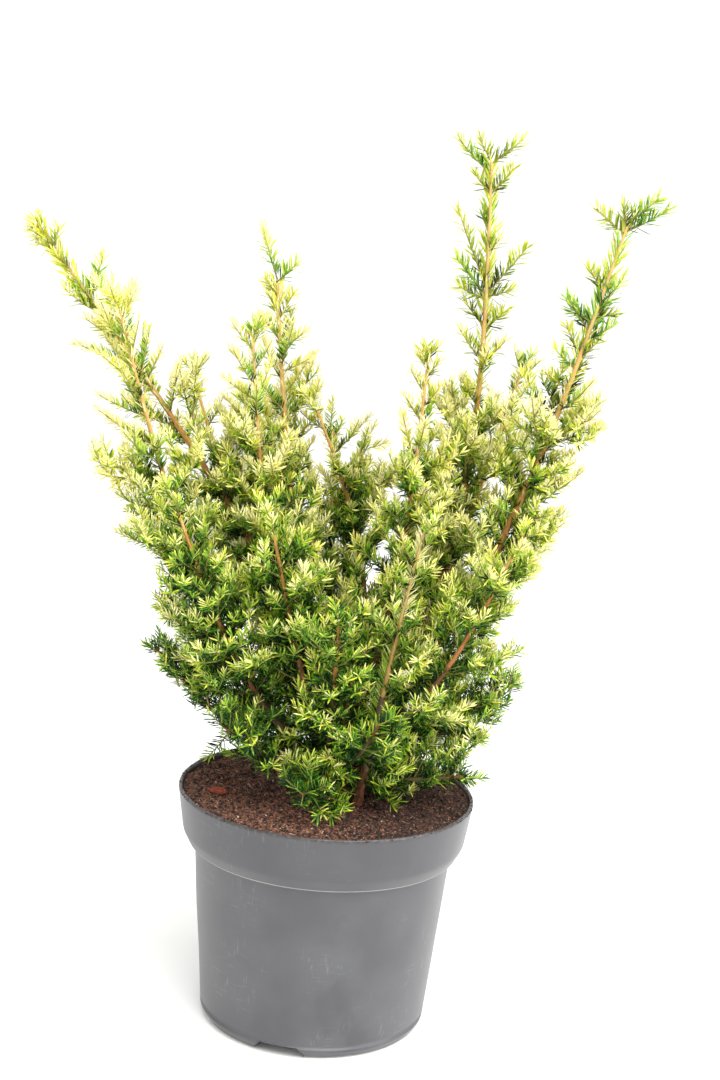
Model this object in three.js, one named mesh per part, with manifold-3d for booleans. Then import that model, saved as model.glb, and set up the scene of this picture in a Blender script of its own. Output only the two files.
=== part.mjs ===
// A golden English yew (Taxus baccata, a gold-leaved garden form) in a round 10 litre nursery pot.
// Millimetres, +Z up, +X to the plant's right and -Y to its front. The origin is the centre of the pot's
// flat underside.
//
// The shrub has one short trunk. Its stems leave the trunk low down and fan out into a vase. The lower, bare
// part of each stem is a bough, and the upper part, with its side shoots and needles, is a mass of foliage.
// Each side shoot is a spray, a slim core with teeth, which stand for bundles of needles and the finest twigs.

import * as THREE from 'three';
import { mergeVertices } from 'three/addons/utils/BufferGeometryUtils.js';
import Module from 'manifold-3d';

const wasm = await Module();
wasm.setup();

// ---------------------------------------------------------------------------------------------------------
// Driving dimensions
// ---------------------------------------------------------------------------------------------------------

const DEGREE = Math.PI / 180;
const UP = new THREE.Vector3(0, 0, 1);
const CLEARANCE = 0.3; // air between two pieces that touch on the real plant

const POT = {
  height: 225,
  rimRadius: 140,
  rimRound: 2,
  bandBottom: 184, // the deep collar under the rim ends here
  bandRadius: 134,
  seam: 172, // the collar's chamfer meets the body here
  seamRadius: 127,
  bodyRadius: 122,
  footRadius: 107.5,
  footBevel: 8,
  baseRadius: 102,
  wall: 2,
  floor: 3,
  sides: 36,
};

const DRAIN = {
  count: 3,
  firstAngle: -105, // degrees from +X, so that one notch shows at the front
  height: 11,
  topWidth: 34,
  bottomWidth: 50,
  depth: 36, // how far each notch runs in from the edge of the base
  overrun: 10, // the notch's cut starts this far outside that edge
  holeRadius: 6,
  holeSides: 12,
};

const SOIL = { edge: 218, top: 221, flatRadius: 60 };

const TRUNK = {
  height: 60,
  footRadius: 16,
  topRadius: 11,
  flare: 0.5, // the foot is this much wider again
  flareFade: 6,
  lean: 3,
  sides: 10,
  steps: 6,
};

const LIMB = {
  boughSides: 6,
  boughSteps: 3,
  stemSides: 3,
  stemSteps: 4,
  collar: 0.25, // a bough swells by this share where it leaves the trunk
  collarFade: 14,
  rollReference: new THREE.Vector3(0.31, 0.95, 0), // no limb runs along this
};

// How stems and side shoots grow.
const HABIT = {
  swellPower: 0.7, // below 1, a stem's belly lies in its lower half
  hookPower: 6, // the hook only bends the last stretch of a stem
  stemTaper: 0.85,
  stemTip: 1.1, // radius of a stem at its tip
  stemSamples: 40,
  firstTwig: 0.02, // share of a stem between the end of its bough and its first side shoot
  lastTwig: 0.93, // share of a stem where its last side shoot leaves
  twigPitch: 15, // distance along a stem from one side shoot to the next
  goldenAngle: 137.5,
  turnSpread: 25,
  openAngle: 66, // between a low side shoot and its stem
  closedAngle: 42, // the same near the stem's tip
  angleSpread: 9,
  rollSpread: 30,
  lowFullness: 1.1, // the length of low side shoots, as a share of the stem's longest
  highFullness: 0.45,
  shorter: 0.8,
  longer: 1.25,
  upwardTurn: 0.28, // how far a side shoot turns towards the light
  boldEvery: 2, // each second side shoot is a solid spray, and the rest are left to finer work
  tries: [1, 0.8, 0.64, 0.5], // a side shoot with no room is tried at these shares of its length
  shortest: 22, // a side shoot that would be shorter is skipped
  spaceShare: 0.8, // a side shoot's tip is this much nearer to its own stem than to any other
};

// The spray that stands for a shoot with its needles.
const SPRAY = {
  lowPitch: 16, // distance between rings of teeth low on a stem
  highPitch: 10, // the same near the stem's tip
  fewestRings: 3,
  lowReach: 30, // reach of the teeth from the shoot's own line, low on a stem
  highReach: 19,
  firstReach: 0.3, // the teeth grow from this share of it
  reachGrowth: 1.6,
  tipTaper: 0.5, // the last teeth reach this share of it
  core: 2.2,
  coreTaper: 0.6,
  toothForward: 0.55, // a tooth leans forwards by this share of its reach
  tipNeedles: 9, // the end needles reach past the shoot's own tip
  stemEnd: 75, // length of the spray that ends each stem
  leastStem: 0.08, // share of a stem that at least lies between its bough and that spray
  sunk: 0.02, // share of a stem by which it runs on into that spray
};

// Each stem is named for where its tip stands. azimuth is in degrees from +X, anticlockwise from above. reach
// and top place the tip, and leave is the height at which the stem leaves the trunk. belly bows the stem
// outwards, bow bows it sideways, and hook bends its last stretch outwards.
const STEMS = [
  { name: 'far_left', azimuth: 177, reach: 298, top: 732, leave: 262, belly: -38 },
  { name: 'left', azimuth: 196, reach: 222, top: 676, leave: 244, belly: 38 },
  { name: 'left_rear', azimuth: 157, reach: 172, top: 612, leave: 256, belly: 12 },
  { name: 'left_centre', azimuth: 146, reach: 106, top: 728, leave: 268, belly: 10, hook: -6 },
  { name: 'left_inner', azimuth: 192, reach: 98, top: 652, leave: 270, belly: 22 },
  { name: 'arched', azimuth: 148, reach: 40, top: 592, leave: 275, bow: -72, hook: 8 },
  { name: 'rear_centre', azimuth: 97, reach: 150, top: 545, leave: 264, belly: 20 },
  { name: 'tallest', azimuth: 12, reach: 109, top: 826, leave: 262, belly: 60 },
  { name: 'far_right', azimuth: 353, reach: 232, top: 780, leave: 252, belly: 42, hook: 14 },
  { name: 'right_inner', azimuth: 327, reach: 74, top: 650, leave: 272, belly: 25 },
  { name: 'right_rear', azimuth: 26, reach: 176, top: 634, leave: 250, belly: 25 },
  { name: 'front_right', azimuth: 318, reach: 118, top: 502, leave: 221, belly: 6, bow: -12, hook: 6 },
  { name: 'front_left', azimuth: 239, reach: 130, top: 510, leave: 254, belly: 8 },
  { name: 'front', azimuth: 270, reach: 132, top: 420, leave: 246, belly: 20 },
  { name: 'rear_left', azimuth: 124, reach: 200, top: 574, leave: 248, belly: 20 },
  { name: 'rear_right', azimuth: 55, reach: 198, top: 596, leave: 254, belly: 22 },
  { name: 'right_front', azimuth: 326, reach: 186, top: 502, leave: 242, belly: 30 },
  { name: 'left_front', azimuth: 216, reach: 188, top: 520, leave: 246, belly: 30 },
  { name: 'low_left', azimuth: 184, reach: 168, top: 352, leave: 236, belly: 26 },
  { name: 'low_right', azimuth: 2, reach: 166, top: 338, leave: 238, belly: 24 },
  { name: 'low_rear', azimuth: 90, reach: 166, top: 340, leave: 238, belly: 26 },
  { name: 'low_front', azimuth: 258, reach: 100, top: 250, leave: 240, belly: 8 },
  { name: 'low_front_right', azimuth: 338, reach: 132, top: 262, leave: 236, belly: 14 },
  { name: 'low_rear_left', azimuth: 150, reach: 118, top: 260, leave: 238, belly: 12 },
  { name: 'low_front_left', azimuth: 220, reach: 130, top: 306, leave: 240, belly: 18 },
  { name: 'low_centre', azimuth: 292, reach: 112, top: 322, leave: 244, belly: 18 },
  { name: 'low_rear_right', azimuth: 40, reach: 140, top: 300, leave: 240, belly: 18 },
  { name: 'inner_front', azimuth: 284, reach: 78, top: 384, leave: 252, belly: 12 },
];
const STEM_ROOT_REACH = 4; // a stem starts this far from the trunk's own line
const FREE_STEM = { name: 'front_right', rootReach: 40 }; // this one rises from the soil beside the trunk

// A longer stem is thicker at its root, is bare for longer, and has longer side shoots.
const rootRadius = (length) => 2.2 + 0.0055 * length;
const bareLength = (length) => 26 + 0.05 * length;
const bushLength = (length) => 40 + 0.05 * length;

const COLOURS = { pot: 0x77777b, soil: 0x3d2419, bark: 0x8a6242, foliage: 0x8ea23c };

// ---------------------------------------------------------------------------------------------------------
// Solids
// ---------------------------------------------------------------------------------------------------------

const mix = (a, b, share) => a + (b - a) * share;

// A closed geometry as a manifold solid, with its shared vertices merged.
function solidOf(geometry) {
  geometry.deleteAttribute('normal');
  geometry.deleteAttribute('uv');
  const merged = mergeVertices(geometry, 1e-4);
  const vertProperties = new Float32Array(merged.attributes.position.array);
  const triVerts = new Uint32Array(merged.index.array);
  const solid = new wasm.Manifold(new wasm.Mesh({ numProp: 3, vertProperties, triVerts }));
  if (solid.volume() <= 0) {
    throw new Error('a solid is inside out');
  }
  return solid;
}

function geometryOf(solid) {
  const { numProp, numVert, vertProperties, triVerts } = solid.getMesh();
  const points = new Float32Array(numVert * 3);
  for (let i = 0; i < numVert; i++) {
    points.set(vertProperties.subarray(i * numProp, i * numProp + 3), i * 3);
  }
  const geometry = new THREE.BufferGeometry();
  geometry.setAttribute('position', new THREE.BufferAttribute(points, 3));
  geometry.setIndex(new THREE.BufferAttribute(new Uint32Array(triVerts), 1));
  geometry.computeVertexNormals();
  return geometry;
}

// The largest outer body of a solid: loose scraps are dropped, and a sealed hollow is filled.
function largestBody(solid) {
  const bodies = solid.decompose().sort((a, b) => b.volume() - a.volume());
  return bodies[0];
}

// A closed profile of [radius, height] points turned about Z.
function turned(profile, sides) {
  const points = profile.map(([radius, height]) => new THREE.Vector2(radius, height));
  return solidOf(new THREE.LatheGeometry(points, sides).rotateX(Math.PI / 2));
}

// A cylinder whose points are placed by a function of how far along it they lie (0 to 1) and where across it
// (two numbers, 0 at its centre and 1 at its skin). With a pointed end, its last ring is a point.
function placedAlong(sides, steps, pointed, place) {
  const geometry = new THREE.CylinderGeometry(pointed ? 0 : 1, 1, 1, sides, steps);
  const position = geometry.attributes.position;
  for (let i = 0; i < position.count; i++) {
    const along = Math.min(Math.max(position.getY(i) + 0.5, 0), 1);
    const scale = pointed ? Math.max(1 - along, 1e-9) : 1;
    const point = place(along, position.getX(i) / scale, position.getZ(i) / scale);
    position.setXYZ(i, point.x, point.y, point.z);
  }
  return solidOf(geometry);
}

// ---------------------------------------------------------------------------------------------------------
// Growth rule
// ---------------------------------------------------------------------------------------------------------

// A small seeded generator: the same seed gives the same plant everywhere.
class Dice {
  constructor(seed) {
    this.state = (seed * 7919 + 12345) % 4294967296;
    this.roll();
    this.roll();
  }
  roll() {
    this.state = (this.state * 1664525 + 1013904223) % 4294967296;
    return this.state / 4294967296;
  }
  between(low, high) {
    return low + (high - low) * this.roll();
  }
}

// The line of a stem: a straight run from the trunk to its tip, with a belly, a bow and a hook added.
class Stem {
  constructor(size, index) {
    Object.assign(this, { belly: 0, bow: 0, hook: 0, index }, size);
    const angle = size.azimuth * DEGREE;
    const rootReach = size.name === FREE_STEM.name ? FREE_STEM.rootReach : STEM_ROOT_REACH;
    this.outwards = new THREE.Vector3(Math.cos(angle), Math.sin(angle), 0);
    this.sideways = new THREE.Vector3(-Math.sin(angle), Math.cos(angle), 0);
    this.start = this.outwards.clone().multiplyScalar(rootReach).setZ(size.leave);
    this.end = this.outwards.clone().multiplyScalar(size.reach).setZ(size.top);
    this.length = this.start.distanceTo(this.end);
    this.root = rootRadius(this.length);
    this.bare = bareLength(this.length) / this.length;
    this.bush = bushLength(this.length);
    this.samples = [];
    for (let i = 0; i <= HABIT.stemSamples; i++) {
      this.samples.push(this.point(i / HABIT.stemSamples));
    }
  }
  point(t) {
    const grown = Math.max(t, 0);
    const swell = Math.sin(Math.PI * grown ** HABIT.swellPower);
    return this.start.clone().lerp(this.end, t)
      .addScaledVector(this.outwards, this.belly * swell + this.hook * grown ** HABIT.hookPower)
      .addScaledVector(this.sideways, this.bow * swell);
  }
  tangent(t) {
    const low = Math.max(t - 0.01, 0);
    const high = Math.min(t + 0.01, 1);
    return this.point(high).sub(this.point(low)).normalize();
  }
  radius(t) {
    return mix(this.root, HABIT.stemTip, Math.max(t, 0) ** HABIT.stemTaper);
  }
  distance(point) {
    return Math.sqrt(Math.min(...this.samples.map((sample) => sample.distanceToSquared(point))));
  }
}

const stems = STEMS.map((size, index) => new Stem(size, index));

// True where a point lies in the space of its own stem's mass: clearly nearer to that stem than to any other.
function inOwnSpace(point, own) {
  const reach = own.distance(point) * HABIT.spaceShare;
  return stems.every((other) => other === own || other.distance(point) > reach);
}

// A side shoot: it leaves its stem at an angle and turns up towards the light.
class Twig {
  constructor(stem, leaves, turn, angle, length, roll) {
    const tangent = stem.tangent(leaves);
    const level = new THREE.Vector3().crossVectors(tangent, UP).normalize();
    const radial = level.applyAxisAngle(tangent, turn);
    this.leaves = leaves;
    this.root = stem.point(leaves);
    this.heading = tangent.clone().multiplyScalar(Math.cos(angle)).addScaledVector(radial, Math.sin(angle));
    this.length = length;
    this.side = new THREE.Vector3().crossVectors(this.heading, tangent).normalize();
    this.side.applyAxisAngle(this.heading, roll);
  }
  point(s) {
    const run = this.heading.clone().multiplyScalar(this.length * s);
    return run.addScaledVector(UP, this.length * HABIT.upwardTurn * s * s).add(this.root);
  }
}

// The side shoots of a stem, in order, as the seeded rule places them, at their full length.
function twigsOf(stem) {
  const dice = new Dice(stem.index + 1);
  const either = (spread) => dice.between(-spread, spread);
  const count = Math.round(((HABIT.lastTwig - stem.bare) * stem.length) / HABIT.twigPitch);
  const twigs = [];
  for (let k = 0; k < count; k++) {
    const u = (k + 0.5) / count;
    const leaves = mix(stem.bare + HABIT.firstTwig, HABIT.lastTwig, u);
    const turn = (k * HABIT.goldenAngle + either(HABIT.turnSpread)) * DEGREE;
    const angle = (mix(HABIT.openAngle, HABIT.closedAngle, u) + either(HABIT.angleSpread)) * DEGREE;
    const fullness = mix(HABIT.lowFullness, HABIT.highFullness, u);
    const length = stem.bush * fullness * dice.between(HABIT.shorter, HABIT.longer);
    twigs.push(new Twig(stem, leaves, turn, angle, length, either(HABIT.rollSpread) * DEGREE));
  }
  return twigs;
}

// ---------------------------------------------------------------------------------------------------------
// Pot and soil
// ---------------------------------------------------------------------------------------------------------

// The pot's outer line, from the middle of the underside up to the rim, as [radius, height] points.
const outerProfile = [
  [0, 0],
  [POT.baseRadius, 0],
  [POT.footRadius, POT.footBevel],
  [POT.bodyRadius, POT.seam - POT.wall],
  [POT.seamRadius, POT.seam],
  [POT.bandRadius, POT.bandBottom],
  [POT.rimRadius, POT.height - POT.rimRound],
  [POT.rimRadius - POT.rimRound / 2, POT.height],
];
// The inside, from the floor up to the rim.
const innerProfile = [
  [POT.baseRadius - POT.wall, POT.floor],
  [POT.footRadius - POT.wall, POT.footBevel],
  [POT.bodyRadius - POT.wall, POT.seam + 1],
  [POT.bandRadius - POT.wall, POT.bandBottom + 1],
  [POT.rimRadius - POT.wall * 2, POT.height - POT.rimRound],
  [POT.rimRadius - POT.wall * 1.5, POT.height],
];

// A drain notch as a block: a trapezium that runs in from the wall, made larger all round by extra.
function notchBlock(extra) {
  const trapezium = new THREE.Shape();
  trapezium.moveTo(-DRAIN.bottomWidth / 2 - extra, -1);
  trapezium.lineTo(DRAIN.bottomWidth / 2 + extra, -1);
  trapezium.lineTo(DRAIN.topWidth / 2 + extra, DRAIN.height + extra);
  trapezium.lineTo(-DRAIN.topWidth / 2 - extra, DRAIN.height + extra);
  const depth = DRAIN.depth + DRAIN.overrun + extra;
  const block = new THREE.ExtrudeGeometry(trapezium, { depth, bevelEnabled: false, steps: 1 });
  return solidOf(block.rotateX(Math.PI / 2).translate(0, DRAIN.depth + extra - POT.baseRadius, 0));
}

function drainHole() {
  const { holeRadius, holeSides, height } = DRAIN;
  const hole = new THREE.CylinderGeometry(holeRadius, holeRadius, 3 * height, holeSides);
  return solidOf(hole.rotateX(Math.PI / 2).translate(0, DRAIN.depth / 2 - POT.baseRadius, 0));
}

function atEachNotch(solid) {
  const placed = [];
  for (let i = 0; i < DRAIN.count; i++) {
    placed.push(solid.rotate([0, 0, DRAIN.firstAngle + 90 + (i * 360) / DRAIN.count]));
  }
  return wasm.Manifold.union(placed);
}

function potSolid() {
  const body = turned([...outerProfile, [0, POT.height]], POT.sides);
  const hollow = turned([[0, POT.floor], ...innerProfile, [0, POT.height + 1]], POT.sides);
  const notchRoofs = atEachNotch(notchBlock(POT.wall)).intersect(body);
  const cuts = atEachNotch(notchBlock(0)).add(atEachNotch(drainHole()));
  return largestBody(body.subtract(hollow).add(notchRoofs).subtract(cuts));
}

// Soil fills the pot to just under its rim, and is flat where the trunk stands.
function soilSolid() {
  const gap = CLEARANCE * 1.5;
  const [bandRadius, bandHeight] = innerProfile[3];
  const [rimRadius, rimHeight] = innerProfile[4];
  const edgeRadius = mix(bandRadius, rimRadius, (SOIL.edge - bandHeight) / (rimHeight - bandHeight));
  const sides = innerProfile.slice(0, 4).map(([radius, height]) => [radius - gap, height]);
  sides[0][1] += CLEARANCE;
  const profile = [
    [0, POT.floor + CLEARANCE],
    ...sides,
    [edgeRadius - gap, SOIL.edge],
    [SOIL.flatRadius, SOIL.top],
    [0, SOIL.top],
  ];
  return largestBody(turned(profile, POT.sides).subtract(atEachNotch(notchBlock(POT.wall + CLEARANCE))));
}

// ---------------------------------------------------------------------------------------------------------
// Trunk, boughs and foliage
// ---------------------------------------------------------------------------------------------------------

const soilTop = SOIL.top + CLEARANCE;

// The trunk flares where it meets the soil and leans a little. extra fattens it on all sides.
function trunkSolid(extra = 0) {
  const { height, footRadius, topRadius, flare, flareFade, lean, sides, steps } = TRUNK;
  return placedAlong(sides, steps, false, (along, across, lift) => {
    const flared = mix(footRadius, topRadius, along) * (1 + flare * Math.exp(-flareFade * along));
    const radius = flared + extra / Math.cos(Math.PI / sides);
    const z = soilTop - extra + (height + 2 * extra) * along;
    return new THREE.Vector3(across * radius + lean * along, -lift * radius, z);
  });
}

// A round limb along part of a stem, with a flat cut at each end. extra fattens it on all sides.
function limb(stem, from, to, sides, steps, extra = 0) {
  return placedAlong(sides, steps, false, (along, across, lift) => {
    const t = mix(from, to, along);
    const ahead = stem.point(t + 0.005).sub(stem.point(t - 0.005)).normalize();
    const first = new THREE.Vector3().crossVectors(ahead, LIMB.rollReference).normalize();
    const second = new THREE.Vector3().crossVectors(first, ahead);
    const collar = 1 + LIMB.collar * Math.exp(-LIMB.collarFade * t);
    const radius = stem.radius(t) * collar + extra / Math.cos(Math.PI / sides);
    const endShift = (along > 0.999 ? extra : 0) - (along < 0.001 ? extra : 0);
    return stem.point(t).addScaledVector(ahead, endShift)
      .addScaledVector(first, across * radius).addScaledVector(second, lift * radius);
  });
}

// A bough is the bare part of a stem, cut clear of the trunk and of the boughs before it.
function boughSolids() {
  const boughs = [];
  const cutters = [trunkSolid(CLEARANCE)];
  for (const stem of stems) {
    const bough = (extra) => limb(stem, 0, stem.bare, LIMB.boughSides, LIMB.boughSteps, extra);
    const aboveSoil = bough(0).trimByPlane([0, 0, 1], soilTop);
    boughs.push(largestBody(aboveSoil.subtract(wasm.Manifold.union(cutters))));
    cutters.push(bough(CLEARANCE));
  }
  return boughs;
}

// A spray along a line, with a four-cornered section. Two opposite corners run out to teeth on each ring, and
// the other two on the next, so that teeth stand out on all four sides. height is the share of the stem at
// which it stands: higher ones are finer. It starts rootWidth across, sunk in its stem, and ends in a point.
function spray(line, length, side, rootWidth, height) {
  const pitch = mix(SPRAY.lowPitch, SPRAY.highPitch, height);
  const rings = Math.max(SPRAY.fewestRings, Math.round(length / pitch));
  const fullReach = mix(SPRAY.lowReach, SPRAY.highReach, height);
  return placedAlong(4, rings, true, (s, across, lift) => {
    const ahead = line(s + 0.01).sub(line(s - 0.01)).normalize();
    const first = side.clone().addScaledVector(ahead, -side.dot(ahead)).normalize();
    const second = new THREE.Vector3().crossVectors(first, ahead);
    const ring = Math.round(s * rings);
    const isTooth = ring > 0 && ring < rings && Math.abs(ring % 2 ? across : lift) > 0.5;
    const grown = Math.min(1, SPRAY.firstReach + SPRAY.reachGrowth * s);
    const toothReach = fullReach * grown * mix(1, SPRAY.tipTaper, s);
    const coreReach = ring === 0 ? rootWidth / 2 : SPRAY.core * mix(1, SPRAY.coreTaper, s);
    const reach = isTooth ? toothReach : coreReach;
    return line(s).addScaledVector(first, across * reach).addScaledVector(second, lift * reach)
      .addScaledVector(ahead, isTooth ? toothReach * SPRAY.toothForward : 0);
  });
}

// The stem of a mass runs on from its bough's tip into the spray that ends it.
function massCore(stem) {
  const from = stem.bare + CLEARANCE / stem.length;
  const sprayFrom = Math.max(1 - SPRAY.stemEnd / stem.length, stem.bare + SPRAY.leastStem);
  const run = limb(stem, from, sprayFrom + SPRAY.sunk, LIMB.stemSides, LIMB.stemSteps);
  const line = (s) => {
    const t = mix(sprayFrom, 1 + SPRAY.tipNeedles / stem.length, s);
    return stem.point(Math.min(t, 1)).addScaledVector(stem.tangent(1), Math.max(t - 1, 0) * stem.length);
  };
  return run.add(spray(line, (1 - sprayFrom) * stem.length, stem.sideways, stem.radius(sprayFrom), 1));
}

const touches = (solid, others) => others.some((other) => solid.minGap(other, 2 * CLEARANCE) < CLEARANCE);

// A mass of foliage: its core and each bold side shoot that keeps to the mass's own space. A shoot that would
// leave it is tried shorter, and is skipped where it still leaves it or touches a limb or another mass.
function massSolid(stem, core, neighbours) {
  const pieces = [core];
  for (const twig of twigsOf(stem).filter((_, k) => k % HABIT.boldEvery === 0)) {
    const fullLength = twig.length;
    for (const share of HABIT.tries) {
      twig.length = fullLength * share;
      if (twig.length < HABIT.shortest || !inOwnSpace(twig.point(1), stem)) {
        continue;
      }
      const line = (s) => twig.point(s * (1 + SPRAY.tipNeedles / twig.length));
      const shoot = spray(line, twig.length, twig.side, stem.radius(twig.leaves), twig.leaves);
      if (!touches(shoot, neighbours)) {
        pieces.push(shoot);
        break;
      }
    }
  }
  return largestBody(wasm.Manifold.union(pieces));
}

// ---------------------------------------------------------------------------------------------------------
// The plant in its pot
// ---------------------------------------------------------------------------------------------------------

const finish = {
  pot: new THREE.MeshStandardMaterial({ color: COLOURS.pot, roughness: 0.55, metalness: 0 }),
  soil: new THREE.MeshStandardMaterial({ color: COLOURS.soil, roughness: 1, metalness: 0 }),
  bark: new THREE.MeshStandardMaterial({ color: COLOURS.bark, roughness: 0.85, metalness: 0 }),
  foliage: new THREE.MeshStandardMaterial({ color: COLOURS.foliage, roughness: 0.5, metalness: 0 }),
};

const plant = new THREE.Group();

function addNode(name, solid, material) {
  const mesh = new THREE.Mesh(geometryOf(solid), material);
  mesh.name = name;
  plant.add(mesh);
}

const pot = potSolid();
const soil = soilSolid();
const trunk = trunkSolid();
const boughs = boughSolids();
addNode('pot', pot, finish.pot);
addNode('soil', soil, finish.soil);
addNode('trunk', trunk, finish.bark);
stems.forEach((stem, i) => addNode(`bough_${stem.name}`, boughs[i], finish.bark));

const limbs = [pot, soil, trunk, ...boughs];
const masses = stems.map((stem) => massCore(stem));
stems.forEach((stem, i) => {
  const neighbours = [...limbs, ...masses.filter((_, j) => j !== i)];
  masses[i] = massSolid(stem, masses[i], neighbours);
  addNode(`foliage_${stem.name}`, masses[i], finish.foliage);
});

export default plant;
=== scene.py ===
"""A golden English yew in its nursery pot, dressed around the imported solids.

Metres, +Z up, +X to the plant's right and -Y to its front. The origin is the centre of the pot's underside.
The stems and side shoots follow the growth rule of the solids, which is written again here and is carried on
to finer shoots and needles. The pot, the soil and the bark are surfaces worked out on grids.
"""

import itertools
import math

import bpy
import numpy as np
from mathutils import Matrix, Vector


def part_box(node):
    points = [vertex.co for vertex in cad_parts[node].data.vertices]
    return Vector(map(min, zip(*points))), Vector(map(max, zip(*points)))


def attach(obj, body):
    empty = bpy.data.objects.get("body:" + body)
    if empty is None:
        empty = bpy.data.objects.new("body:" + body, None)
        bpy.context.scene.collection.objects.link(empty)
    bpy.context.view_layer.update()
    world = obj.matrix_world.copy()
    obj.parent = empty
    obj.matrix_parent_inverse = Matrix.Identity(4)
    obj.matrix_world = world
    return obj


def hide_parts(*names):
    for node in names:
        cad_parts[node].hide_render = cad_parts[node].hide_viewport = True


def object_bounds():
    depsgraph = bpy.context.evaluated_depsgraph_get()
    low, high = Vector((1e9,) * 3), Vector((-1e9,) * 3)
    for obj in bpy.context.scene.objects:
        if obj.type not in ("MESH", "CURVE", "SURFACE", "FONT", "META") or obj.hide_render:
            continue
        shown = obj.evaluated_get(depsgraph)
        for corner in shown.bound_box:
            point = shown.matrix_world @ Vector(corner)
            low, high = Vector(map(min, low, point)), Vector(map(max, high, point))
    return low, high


bl_info = {
    "name": "Golden Yew in a Nursery Pot",
    "version": (1, 0, 0),
    "blender": (4, 5, 0),
    "location": "3D View > Sidebar > Yew",
    "description": "Grows the bark, shoots and needles of a potted yew around its solid model",
    "category": "Add Mesh",
}

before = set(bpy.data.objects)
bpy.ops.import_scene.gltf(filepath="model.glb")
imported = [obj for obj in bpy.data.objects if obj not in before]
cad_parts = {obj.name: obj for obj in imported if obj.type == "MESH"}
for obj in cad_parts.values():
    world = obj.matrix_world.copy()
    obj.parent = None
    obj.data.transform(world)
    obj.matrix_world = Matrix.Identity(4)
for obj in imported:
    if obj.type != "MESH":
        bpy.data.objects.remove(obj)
CAD_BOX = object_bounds()
POT_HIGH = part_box("pot")[1]
SOIL_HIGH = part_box("soil")[1]
TRUNK_LOW, TRUNK_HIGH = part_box("trunk")

UP = np.array([0.0, 0.0, 1.0])
TURN = 2 * math.pi
EYE = np.array([0, -1.6324, 0.7796])  # where the camera stands


# ----------------------------------------------------------------------------------------------------------
# Growth rule, as in the solids
# ----------------------------------------------------------------------------------------------------------

# name, azimuth in degrees, reach and height of the tip, height at the trunk, belly, and any bow and hook.
# The far right stem has no hook here: its marked side shoots reach as far as the hook of its solid.
STEMS = (
    ("far_left", 177, 0.298, 0.732, 0.262, -0.038),
    ("left", 196, 0.222, 0.676, 0.244, 0.038),
    ("left_rear", 157, 0.172, 0.612, 0.256, 0.012),
    ("left_centre", 146, 0.106, 0.728, 0.268, 0.010, 0, -0.006),
    ("left_inner", 192, 0.098, 0.652, 0.270, 0.022),
    ("arched", 148, 0.040, 0.592, 0.275, 0, -0.072, 0.008),
    ("rear_centre", 97, 0.150, 0.545, 0.264, 0.020),
    ("tallest", 12, 0.109, 0.826, 0.262, 0.060),
    ("far_right", 353, 0.232, 0.780, 0.252, 0.042),
    ("right_inner", 327, 0.074, 0.650, 0.272, 0.025),
    ("right_rear", 26, 0.176, 0.634, 0.250, 0.025),
    ("front_right", 318, 0.118, 0.502, 0.221, 0.006, -0.012, 0.006),
    ("front_left", 239, 0.130, 0.510, 0.254, 0.008),
    ("front", 270, 0.132, 0.420, 0.246, 0.020),
    ("rear_left", 124, 0.200, 0.574, 0.248, 0.020),
    ("rear_right", 55, 0.198, 0.596, 0.254, 0.022),
    ("right_front", 326, 0.186, 0.502, 0.242, 0.030),
    ("left_front", 216, 0.188, 0.520, 0.246, 0.030),
    ("low_left", 184, 0.168, 0.352, 0.236, 0.026),
    ("low_right", 2, 0.166, 0.338, 0.238, 0.024),
    ("low_rear", 90, 0.166, 0.340, 0.238, 0.026),
    ("low_front", 258, 0.100, 0.250, 0.240, 0.008),
    ("low_front_right", 338, 0.132, 0.262, 0.236, 0.014),
    ("low_rear_left", 150, 0.118, 0.260, 0.238, 0.012),
    ("low_front_left", 220, 0.130, 0.306, 0.240, 0.018),
    ("low_centre", 292, 0.112, 0.322, 0.244, 0.018),
    ("low_rear_right", 40, 0.140, 0.300, 0.240, 0.018),
    ("inner_front", 284, 0.078, 0.384, 0.252, 0.012),
)
STEM_ROOT_REACH = 0.004
FREE_STEM, FREE_ROOT_REACH = "front_right", 0.040
# The tall leaders: above the first share of the stem they bear marked side shoots alone, and their wood ends
# at the second. The third is how gold they are over the crown.
LEADERS = {
    "tallest": (0.555, 0.982, 0.17),
    "far_right": (0.69, 0.990, 0.14),
    "left_centre": (0.80, 0.922, 0.34),
    "far_left": (0.86, 1, 0.20),
    "right_inner": (0.82, 1, 0.36),
    "left_rear": (0.84, 1, 0.42),
}
LEANS = {"front_right": -0.021}  # how far to the right of its solid's line the tip of a stem ends

SWELL_POWER, HOOK_POWER = 0.7, 6
STEM_TAPER, STEM_TIP = 0.85, 0.0011
STEM_SAMPLES = 40
FIRST_TWIG, LAST_TWIG = 0.02, 0.93
TWIG_PITCH = 0.015
GOLDEN_ANGLE = 137.5
TURN_SPREAD, ANGLE_SPREAD, ROLL_SPREAD = 25, 9, 30
OPEN_ANGLE, CLOSED_ANGLE = 66, 42
LOW_FULLNESS, HIGH_FULLNESS = 1.1, 0.45
SHORTER, LONGER = 0.8, 1.25
UPWARD_TURN = 0.28
TRIES = (1, 0.8, 0.64, 0.5)
SPACE_SHARE = 0.8
SHORTEST_TWIG = 0.022


def mix(a, b, share):
    return a + (b - a) * share


def unit(vectors):
    return vectors / np.linalg.norm(vectors, axis=-1, keepdims=True)


def across(vectors, ahead):
    """The part of each vector that is square to ahead, at unit length."""
    return unit(vectors - (vectors * ahead).sum(-1, keepdims=True) * ahead)


def swung(vectors, axis, angle):
    """Vectors turned about unit axes: v cos(a) + (axis x v) sin(a) + axis (axis . v) (1 - cos(a))."""
    cos, sin = np.cos(angle)[..., None], np.sin(angle)[..., None]
    dot = (vectors * axis).sum(-1, keepdims=True)
    return vectors * cos + np.cross(axis, vectors) * sin + axis * dot * (1 - cos)


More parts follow.
